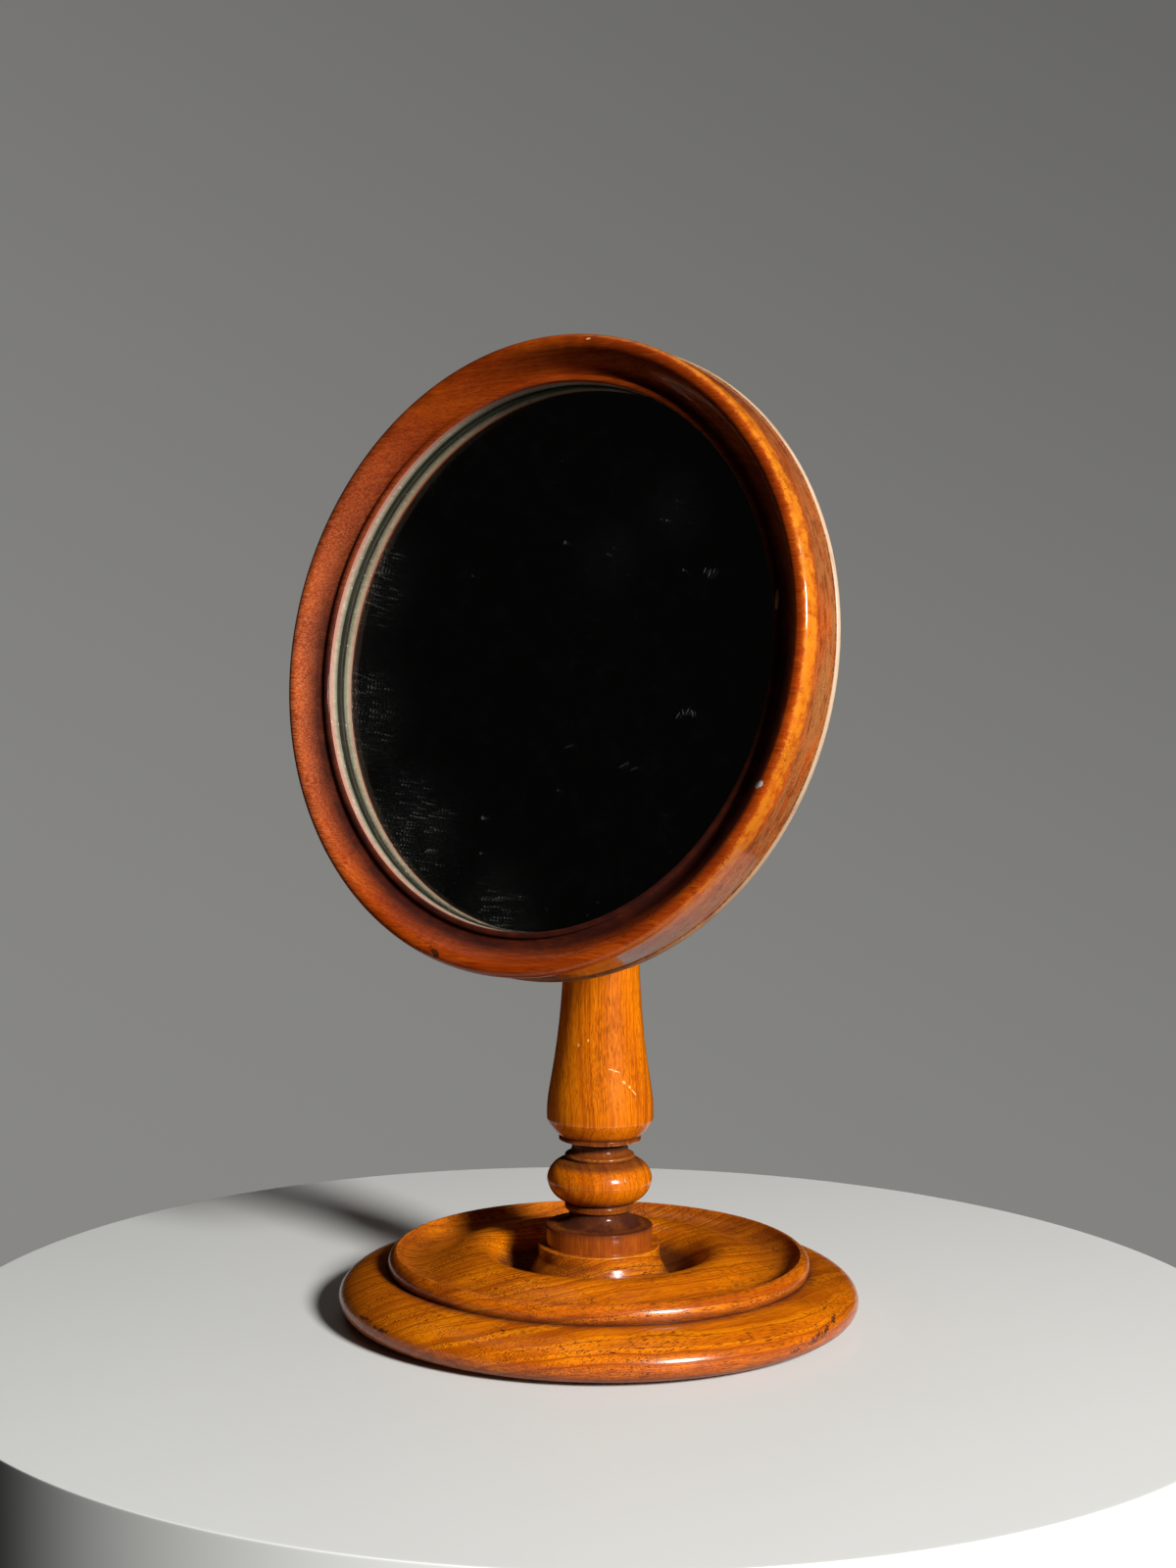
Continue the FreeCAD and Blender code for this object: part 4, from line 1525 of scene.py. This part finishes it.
@dataclass
class Column:
    """Turned column: tenon, foot disc, cavetto, beads, bulb, neck, vase-shaped shaft and slotted ball head."""

    boss_height: float = 24.7
    tenon: Pair = (9.0, 16.0)
    foot: Pair = (19.6, 7.4)
    foot_round: float = 0.5
    cavetto: Pair = (17.0, 5.2)
    lower_neck: float = 11.0
    lower_bead: Pair = (3.2, 1.2)
    bulb_seat: float = 12.0
    bulb_radius: float = 19.25
    bulb_lower: Pair = (7.9, 1.6)
    bulb_upper: Pair = (8.0, 2.0)
    upper_bead: Triple = (12.2, 1.9, 0.8)
    upper_neck: Triple = (11.8, 5.0, 1.6)
    fillet_ring: Pair = (15.0, 1.4)
    vase_seat: float = 14.5
    vase: Triple = (19.4, 6.3, 0.55)
    shaft: tuple[Pair, ...] = ((19.25, 7.0), (18.05, 15.0), (15.55, 33.0), (14.2, 50.0))
    shaft_top: float = 11.2
    collar: Triple = (12.4, 3.4, 1.3)
    collar_seat: float = 10.6
    ball_neck: Triple = (9.2, 15.0, 1.7)
    ball: float = 14.5
    flat: float = 12.0
    slot_half: float = 2.9
    slot_floor: float = 9.2
    bolt_hole: float = 2.55
    ease: float = 0.14
    facets: int = 200
    bore_facets: int = 32
    crease_deg: float = 38.0
    foot_wear: float = 0.3
    grimy: tuple[Triple, ...] = ((6.9, 13.4, 1.0), (13.4, 17.0, 0.8), (29.4, 41.0, 0.8))
    grime_edge: float = 1.6
    wood: Mahogany = Mahogany(
        "column mahogany",
        Plank((0.0, 0.0, 0.0), (0.0, -90.0, 0.0), (24.0, -30.0)),
        (0.35, 0.066, 0.001),
        (0.55, 0.127, 0.001),
        (0.70, 0.184, 0.001),
        fade_tint=(0.28, 0.053, 0.006),
        stain_share=0.25,
        fade_patch=0.85,
        grain=0.19,
        pore_size=(9.0, 0.4),
        pore_share=0.45,
        marks=COLUMN_MARKS,
    )

    def line(self) -> TurnedLine:
        """Draw the half section of the column.

        Returns:
            The line, from the tenon up to the top of the ball.
        """
        height = self.boss_height
        line = TurnedLine(0.0, height - self.tenon[1]).to(self.tenon[0], height - self.tenon[1])
        line.to(self.tenon[0], height).to(self.foot[0], height)
        height += self.foot[1]
        line.to(self.foot[0], height - self.foot_round).quarter(self.foot[0] - self.foot_round, height, False)
        line.to(self.cavetto[0], height)
        height += self.cavetto[1]
        line.quarter(self.lower_neck, height, True)
        height += self.lower_bead[0]
        line.bow(self.bulb_seat, height, self.lower_bead[1])
        height += self.bulb_lower[0]
        line.bow(self.bulb_radius, height, self.bulb_lower[1])
        height += self.bulb_upper[0]
        line.bow(self.upper_bead[0], height, self.bulb_upper[1])
        height += self.upper_bead[1]
        line.bow(self.upper_neck[0], height, self.upper_bead[2])
        height += self.upper_neck[1]
        line.bow(self.upper_neck[0], height, -self.upper_neck[2]).to(self.fillet_ring[0], height)
        height += self.fillet_ring[1]
        line.to(self.fillet_ring[0], height).to(self.vase_seat, height)
        height += self.vase[1]
        line.bow(self.vase[0], height, self.vase[2])
        ball_start = PIVOT_HEIGHT - math.sqrt(self.ball**2 - self.ball_neck[0] ** 2)
        collar_top = ball_start - self.ball_neck[1]
        shaft_end = collar_top - self.collar[1]
        line.through([(radius, height + rise) for radius, rise in self.shaft] + [(self.shaft_top, shaft_end)])
        line.to(self.collar[0], shaft_end).bow(self.collar[0], collar_top, self.collar[2])
        line.to(self.collar_seat, collar_top).bow(self.ball_neck[0], ball_start, -self.ball_neck[2])
        start = math.degrees(math.asin((ball_start - PIVOT_HEIGHT) / self.ball))
        return line.round_about(PIVOT_HEIGHT, self.ball, start, 90.0)

    def build(self) -> None:
        """Turn the column, cut its slot, flats and bolt hole, and dress it."""
        rows = self.line().softened(self.ease)
        height = rows[:, HEIGHT] - self.boss_height
        for low, high, share in self.grimy:
            inside = np.minimum(height - low, high - height) / self.grime_edge + 0.5
            rows[:, GRIME] = np.maximum(rows[:, GRIME], share * np.clip(inside, 0, 1))
        on_foot = (height > 0) & (height <= self.foot[1])
        rows[:, WEAR] = np.where(on_foot, self.foot_wear * rows[:, WEAR], rows[:, WEAR])
        rows[:, FADE] = np.where(on_foot, 1.0, 0.0)
        column = lathe("turned_column", rows, self.facets)
        reach = 2 * self.ball
        floor, low, high = (PIVOT_HEIGHT + rise for rise in (-self.slot_floor, -reach, reach))
        cutters = [cut_box((-self.slot_half, -reach, floor), (self.slot_half, reach, high))]
        for side in (-1, 1):
            near, far = sorted((side * self.flat, 2 * side * self.flat))
            cutters.append(cut_box((near, -reach, low), (far, reach, high)))
        hole = TurnedLine(0.0, -reach).to(self.bolt_hole, -reach).to(self.bolt_hole, reach).to(0.0, reach)
        cutters.append(lathe("bore", hole.softened(0.0), self.bore_facets, place=PIVOT_PLACE))
        carved(column, cutters, self.crease_deg)
        settle(column, self.wood.material(), Body.STAND, Slot.TURNED, ["column"])


@dataclass
class Pivot:
    """Bolt, washers and thumb nut through the ball head."""

    hole: float = 2.55
    washer_start: float = 2.05
    washer_end: float = 2.85
    washer_radius: float = 7.6
    washer_rounds: Pair = (0.1, 0.3)
    nut_start: float = 13.05
    nut_collar: Pair = (5.2, 2.6)
    collar_rounds: Pair = (0.2, 0.3)
    nut: Pair = (8.2, 6.0)
    nut_round: float = 0.8
    mouth_round: float = 0.2
    grip_slack: float = 0.01
    flutes: int = 18
    flute_radius: float = 0.9
    flute_facets: int = 16
    washer_facets: int = 72
    ease: float = 0.05
    brass: AgedBrass = AgedBrass("pivot brass")
    steel: BluedSteel = BluedSteel("blued steel")
    leather: Woolly = Woolly("leather", (0.16, 0.085, 0.045), (0.05, 0.026, 0.014), 0.7, 0.05, 0.1, 0.62)

    def build(self) -> None:
        """Make the washers and the nut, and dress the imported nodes."""
        brass = self.brass.material()
        for node in ("pivot_bolt", "cheek_washers"):
            dress(node, brass)
        dress("column_screw", self.steel.material())
        self.cut_washers()
        settle(self.turn_nut(), brass, Body.NUT, Slot.BRASS, ["thumb_nut"])

    def cut_washers(self) -> None:
        """Make the two leather washers in the slot."""
        places, faces, shades = [], [], []
        for side in (-1, 1):
            low, high = sorted((side * self.washer_start, side * self.washer_end))
            inner, outer = self.washer_rounds
            line = filleted(
                (
                    (self.hole, low, inner),
                    (self.washer_radius, low, outer),
                    (self.washer_radius, high, outer),
                    (self.hole, high, inner),
                )
            )
            washer = lathe("washer", line.softened(self.ease, True), self.washer_facets, True, PIVOT_PLACE)
            start = sum(len(group) for group in places)
            places.append(np.array([vertex.co for vertex in washer.data.vertices]) / MM)
            shades.append(np.zeros((len(washer.data.vertices), len(SHADES))))
            faces += [[start + corner for corner in face.vertices] for face in washer.data.polygons]
            bpy.data.objects.remove(washer)
        pair = meshed("leather_washers", np.vstack(places), faces, np.vstack(shades))
        settle(pair, self.leather.material(), Body.STAND, Slot.LEATHER, ["friction_washers"])

    def turn_nut(self) -> bpy.types.Object:
        """Turn the thumb nut and flute its grip.

        Returns:
            The nut.
        """
        grip = self.nut_start + self.nut_collar[1]
        end = grip + self.nut[1]
        line = filleted(
            (
                (self.hole, self.nut_start, 0.0),
                (self.nut_collar[0], self.nut_start, self.collar_rounds[0]),
                (self.nut_collar[0], grip, self.collar_rounds[1]),
                (self.nut[0], grip, self.nut_round),
                (self.nut[0], end, self.nut_round),
                (self.hole, end, self.mouth_round),
            )
        )
        nut = lathe("fluted_thumb_nut", line.softened(self.ease, True), self.flute_facets * self.flutes, True)
        spots = np.array([vertex.co for vertex in nut.data.vertices]) / MM
        turn = np.arctan2(spots[:, 1], spots[:, 0])
        pitch = 2 * math.pi / self.flutes
        off = np.abs((turn + pitch / 2) % pitch - pitch / 2)
        sink = self.flute_radius**2 - (self.nut[0] * np.sin(off)) ** 2
        edge = np.where(sink > 0, self.nut[0] * np.cos(off) - np.sqrt(np.maximum(sink, 0)), self.nut[0])
        radius = np.linalg.norm(spots[:, :2], axis=1)
        share = np.where(spots[:, 2] > grip - self.grip_slack, np.minimum(1.0, edge / radius), 1.0)
        spots[:, :2] *= share[:, None]
        nut.data.vertices.foreach_set("co", (spots * MM).ravel())
        moved(nut, PIVOT_PLACE)
        nut.data.update()
        return nut


@dataclass
class Frame:
    """Turned frame ring with its pale slip, glass and silvering."""

    radius: float = 112.2
    back: float = 29.3
    crest: float = 47.6
    crest_start: float = 107.6
    hollow: Pair = (101.2, 41.2)
    bead: Pair = (98.7, 42.1)
    sight: float = 96.4
    seat: Pair = (98.0, 41.1)
    rebate: Pair = (102.0, 36.72)
    slip_outer: float = 97.9
    slip_front: float = 41.0
    patina: Pair = (107.9, 102.2)
    faded: Pair = (42.2, 37.6)
    rubbed: Pair = (109.5, 111.6)
    rosy: Pair = (39.4, 40.2)
    # Heights over which the slip's foot takes its painted green shade.
    green_shade: Pair = (38.0, 37.0)
    silver_radius: float = 100.0
    silver: Pair = (33.3, 33.47)
    back_round: float = 0.4
    crest_rounds: Pair = (2.5, 4.0)
    hollow_round: float = 4.6
    bead_round: float = 0.8
    slip_rounds: Triple = (0.2, 0.2, 0.35)
    inner_wear: float = 0.2
    facets: int = 384
    ease: float = 0.12
    slip_ease: float = 0.08
    silver_facets: int = 192
    silver_crease_deg: float = 30.0
    wood: Mahogany = Mahogany(
        "frame mahogany",
        MIRROR_PLANK,
        (0.26, 0.030, 0.002),
        (0.40, 0.052, 0.003),
        (0.54, 0.090, 0.005),
        wear_tint=(0.72, 0.25, 0.014),
        fade_tint=(0.36, 0.140, 0.042),
        fade_patch=0.25,
        figure=0.7,
        grain=0.17,
        # Golden rubbed wear is kept to the right, lit side: partly wear, partly painted light.
        wear_and_lit_side=(0.0085, 0.002, 0.0),
        wear_and_lit_least=0.05,
        coat_rough=0.08,
        # Painted shade darkens the frame toward its top.
        shaded_side=(0.0, 0.006, 0.0),
        clean_side=(0.0, 0.0085, 0.0),
        # Painted sheen: a pale pink tint streaks the left side of the frame.
        painted_light_side=(-0.0135, 0.0, 0.0),
        painted_light_least=-0.75,
        pore_size=(9.0, 0.4),
        pore_share=0.35,
        marks=FRAME_MARKS,
    )
    cream: PaleSlip = PaleSlip("cream slip")
    glass: OldGlass = OldGlass("old plate glass")
    metal: FoxedSilver = FoxedSilver("foxed silver")

    def build(self) -> None:
        """Turn the frame and the slip, silver the glass and dress them."""
        self.turn_ring()
        self.turn_slip()
        self.silver_glass()

    def turn_ring(self) -> None:
        """Turn the frame ring and shade its hollow, wall and crest."""
        hollow, bead = self.hollow, self.bead
        line = filleted(
            (
                (self.rebate[0], self.back, 0.0),
                (self.radius, self.back, self.back_round),
                (self.radius, self.crest, self.crest_rounds[0]),
                (self.crest_start, self.crest, self.crest_rounds[1]),
                (*hollow, self.hollow_round),
                (bead[0], hollow[1], 0.0),
                (*bead, self.bead_round),
                (self.sight, bead[1], self.bead_round),
                (self.sight, self.seat[1], 0.0),
                (*self.seat, 0.0),
                (self.seat[0], self.rebate[1], 0.0),
                (*self.rebate, 0.0),
            )
        )
        rows = line.softened(self.ease, True)
        radius, height = rows[:, RADIUS], rows[:, HEIGHT]
        inside = np.where(height > self.seat[1], between(radius, *self.patina), 0)
        rows[:, GRIME] = np.maximum(rows[:, GRIME], inside)
        outer = radius > self.rebate[0] + 1
        rows[:, FADE] = np.where(outer, between(height, *self.faded), 0)
        rubbed = between(radius, *self.rubbed) * (1 - rows[:, FADE]) * outer
        rows[:, WEAR] = np.maximum(np.where(outer, 1.0, self.inner_wear) * rows[:, WEAR], rubbed)
        ring = lathe("turned_frame", rows, self.facets, True, MIRROR_PLACE)
        settle(ring, self.wood.material(), Body.MIRROR, Slot.TURNED, ["frame_ring"])

    def turn_slip(self) -> None:
        """Turn the pale slip, redden its front edge and paint green shade along its foot."""
        low, high = self.rebate[1], self.slip_front
        line = filleted(
            (
                (self.sight, low, self.slip_rounds[0]),
                (self.slip_outer, low, 0.0),
                (self.slip_outer, high, self.slip_rounds[1]),
                (self.sight, high, self.slip_rounds[2]),
            )
        )
        rows = line.softened(self.slip_ease, True)
        rows[:, GRIME] = between(rows[:, HEIGHT], *self.green_shade)
        rows[:, FADE] = between(rows[:, HEIGHT], *self.rosy)
        slip = lathe("pale_slip_ring", rows, self.facets, True, MIRROR_PLACE)
        settle(slip, self.cream.material(), Body.MIRROR, Slot.SLIP, ["sight_slip"])

    def silver_glass(self) -> None:
        """Dress the glass and lay the silver coat behind it."""
        dress("mirror_glass", self.glass.material())
        line = TurnedLine(0.0, self.silver[0]).to(self.silver_radius, self.silver[0])
        line.to(self.silver_radius, self.silver[1]).to(0.0, self.silver[1])
        coat = lathe("silver_coat", line.softened(0.0), self.silver_facets, place=MIRROR_PLACE)
        coat.data.set_sharp_from_angle(angle=math.radians(self.silver_crease_deg))
        settle(coat, self.metal.material(), Body.MIRROR, Slot.SILVER, ["silvering"])


@dataclass
class Back:
    """Back board, boss and hinge bracket behind the glass, with their screws."""

    board_back: float = 26.2
    board_screw_circle: float = 107.1
    board_screws: int = 6
    board_screw: WoodScrew = WoodScrew(3.2, 1.6, 12.0)
    board_seed: int = 5
    bracket_back: float = 16.7
    hinge_screw_circle: float = 12.2
    hinge_screws: int = 4
    hinge_screw: WoodScrew = WoodScrew(2.9, 1.5, 13.0)
    hinge_seed: int = 11
    board: Mahogany = Mahogany(
        "board mahogany",
        MIRROR_PLANK,
        (0.13, 0.034, 0.008),
        (0.25, 0.075, 0.015),
        (0.36, 0.13, 0.03),
        # Pale rim: partly unpolished wood, partly a painted highlight on the right, lit side.
        bare_and_lit_rim=112.6,
        wear_and_lit_side=(0.0085, 0.002, 0.0),
        wear_and_lit_least=0.05,
        rough=0.5,
        coat=0.35,
        coat_rough=0.3,
    )
    boss: Mahogany = Mahogany("boss mahogany", MIRROR_PLANK)
    brass: AgedBrass = AgedBrass("hinge brass")
    paper: Woolly = Woolly("backing paper", (0.40, 0.30, 0.18), (0.28, 0.20, 0.11), 0.5, 0.02, 0.0, 0.9)
    deal: Mahogany = Mahogany(
        "raw deal",
        MIRROR_PLANK,
        (0.36, 0.22, 0.10),
        (0.55, 0.38, 0.20),
        (0.66, 0.50, 0.30),
        pore_share=0.2,
        rough=0.7,
        coat=0.0,
    )

    def build(self) -> None:
        """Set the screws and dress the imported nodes."""
        brass = self.brass.material()
        tree = ScrewCircle()
        sets = (
            ("board_screw_set", self.board_screw, self.board_screws, self.board_screw_circle, self.board_seed),
            ("hinge_screw_set", self.hinge_screw, self.hinge_screws, self.hinge_screw_circle, self.hinge_seed),
        )
        places = (("back_board_screws", self.board_back), ("hinge_screws", self.bracket_back))
        for (name, screw, count, circle, seed), (node, depth) in zip(sets, places):
            piece = tree.set_out(name, screw.build(), count, circle, seed, brass)
            moved(piece, MIRROR_PLACE @ Matrix.Translation((0.0, 0.0, depth)))
            settle(piece, brass, Body.MIRROR, Slot.BRASS, [node])
        dress("back_board", self.board.material())
        dress("back_boss", self.boss.material())
        dress("hinge_bracket", brass)
        dress("backing_paper", self.paper.material())
        dress("glazing_blocks", self.deal.material())


def toward(azimuth: float, height: float) -> Vector:
    """Return the direction of an azimuth and a height above the horizon."""
    level = math.cos(height)
    return Vector((math.sin(azimuth) * level, -math.cos(azimuth) * level, math.sin(height)))


@dataclass(frozen=True)
class Lobe:
    """Part of the room's light: its direction, the cosines between which it eases, and its strengths there."""

    azimuth: float
    height: float
    cosines: Pair
    strengths: Pair

    def strength(self, graph: Graph, ray: Socket) -> Socket:
        """Return the light's strength along a ray."""
        dot = graph.vector("DOT_PRODUCT", ray, toward(self.azimuth, self.height))
        return graph.remap(dot, *self.cosines, *self.strengths)


@dataclass
class Studio:
    """Pale round table top, soft key light, dim room and the camera."""

    yaw: float = math.radians(36.33)
    pitch: float = 0.0455
    roll: float = 0.0092
    eye: Triple = (-0.00555, -0.7997, 0.2294)
    sensor: float = 24.0
    lens: float = 33.75
    table_radius: float = 239.0
    table_height: float = 200.0
    table_tint: Triple = (0.72, 0.72, 0.69)
    table_fleck: Triple = (0.45, 0.45, 0.43)
    table_gap: float = 0.1
    table_ease: float = 0.3
    table_facets: int = 256
    table_cloud: Pattern = Pattern((0.012, 0.012, 0.012), 4.0)
    table_grain: Pattern = Pattern((0.3, 0.3, 0.3), 3.0)
    key_azimuth: float = math.radians(73.0)
    key_height: float = math.radians(25.0)
    key_size: float = 0.5
    key_power: float = 112.0
    fill_azimuth: float = math.radians(205.0)
    fill_height: float = math.radians(-3.5)
    fill_size: float = 0.4
    fill_power: float = 36.0
    lamp_aim: Triple = (0.0, 0.0, 0.12)
    lamp_distance: float = 2.4
    backdrop: Lobe = Lobe(yaw - math.pi / 2, -math.atan2(0.9, 0.45), (-0.75, 0.35), (0.09, 0.245))
    glow: Lobe = Lobe(key_azimuth, math.radians(2.0), (0.90, 0.99), (0.0, 0.30))
    above: Lobe = Lobe(math.radians(250.0), math.radians(75.0), (0.88, 0.98), (0.0015, 0.40))
    behind: Lobe = Lobe(math.radians(250.0), 0.0, (0.0, 0.9), (0.003, 0.012))
    room_tint: Triple = (1.0, 0.99, 0.95)

    def build(self) -> None:
        """Set the camera, lay the table top and light it."""
        self.set_camera()
        self.lay_table()
        self.hang_lamps()
        self.fill_room()

    def set_camera(self) -> None:
        """Stand the camera where the photograph was taken from."""
        across = Vector((1.0, 0.0, 0.0))
        ahead = Vector((0.0, math.cos(self.pitch), -math.sin(self.pitch)))
        above = across.cross(ahead)
        right = across * math.cos(self.roll) + above * math.sin(self.roll)
        top = above * math.cos(self.roll) - across * math.sin(self.roll)
        place = Matrix((right, top, -ahead)).transposed().to_4x4()
        place.translation = Vector(self.eye)
        data = bpy.data.cameras.new("camera")
        data.sensor_fit = "VERTICAL"
        data.sensor_height = self.sensor
        data.lens = self.lens
        camera = bpy.data.objects.new("camera", data)
        camera.matrix_world = Matrix.Rotation(self.yaw, 4, "Z") @ place
        bpy.context.scene.collection.objects.link(camera)
        bpy.context.scene.camera = camera

    def lay_table(self) -> None:
        """Lay the pale round table top under the object."""
        high, low = -self.table_gap, -self.table_height
        line = TurnedLine(0.0, low).to(self.table_radius, low).to(self.table_radius, high).to(0.0, high)
        table = lathe("table_top", line.softened(self.table_ease), self.table_facets)
        graph = Finish("pale table")
        place = graph.local(Plank())
        cloud, fleck = graph.pattern(place, self.table_cloud), graph.pattern(place, self.table_grain)
        tone = graph.times(graph.blend(((cloud, 0.07), (fleck, 0.03))), 1.0, True)
        tint = graph.mix(tone, self.table_tint, self.table_fleck)
        rough = graph.math("ADD", graph.times(fleck, 0.1), 0.5)
        table.data.materials.append(graph.surface(Base_Color=tint, Roughness=rough))

    def hang_lamps(self) -> None:
        """Hang the key light to the right of the camera and a low, matt fill behind the object."""
        key = self.hang("key", self.key_azimuth, self.key_height, self.key_size, self.key_power)
        fill = self.hang("fill", self.fill_azimuth, self.fill_height, self.fill_size, self.fill_power)
        fill.visible_glossy = False
        LOG.info("lamps %s and %s hung", key.name, fill.name)

    def hang(self, name: str, azimuth: float, height: float, size: float, power: float) -> bpy.types.Object:
        """Hang a round lamp that looks at the object.

        Args:
            name: Name of the lamp.
            azimuth: Its direction round the object.
            height: Its angle above the horizon.
            size: Its width in metres.
            power: Its power in watts.

        Returns:
            The lamp.
        """
        light = bpy.data.lights.new(name, "AREA")
        light.shape = "DISK"
        light.size = size
        light.energy = power
        lamp = bpy.data.objects.new(name, light)
        aim = Vector(self.lamp_aim)
        lamp.location = aim + toward(azimuth, height) * self.lamp_distance
        lamp.rotation_euler = (aim - lamp.location).to_track_quat("-Z", "Y").to_euler()
        bpy.context.scene.collection.objects.link(lamp)
        return lamp

    def fill_room(self) -> None:
        """Make the room: a grey backdrop, a weak fill for matt light and a dark room for reflections."""
        scene = bpy.context.scene
        scene.world = bpy.data.worlds.new("room")
        scene.world.use_nodes = True
        graph = Graph(scene.world.node_tree)
        rays = graph.add("ShaderNodeLightPath").outputs
        ray = graph.add("ShaderNodeTexCoord").outputs["Generated"]
        lobes = (self.backdrop, self.glow, self.above, self.behind)
        backdrop, glow, above, behind = (lobe.strength(graph, ray) for lobe in lobes)
        light = graph.choose(rays["Is Diffuse Ray"], graph.math("ADD", glow, above), behind)
        light = graph.choose(rays["Is Camera Ray"], light, backdrop)
        room = graph.add("ShaderNodeBackground", {"Color": self.room_tint, "Strength": light})
        graph.add("ShaderNodeOutputWorld", {"Surface": room.outputs[0]})
        scene.view_settings.view_transform = "Standard"


def main() -> None:
    """Build the mirror from its base up, then the room."""
    logging.basicConfig(level=logging.INFO, format="%(name)s: %(message)s")
    for part in (Base(), Column(), Pivot(), Frame(), Back(), Studio()):
        part.build()


if __name__ == "__main__":
    main()
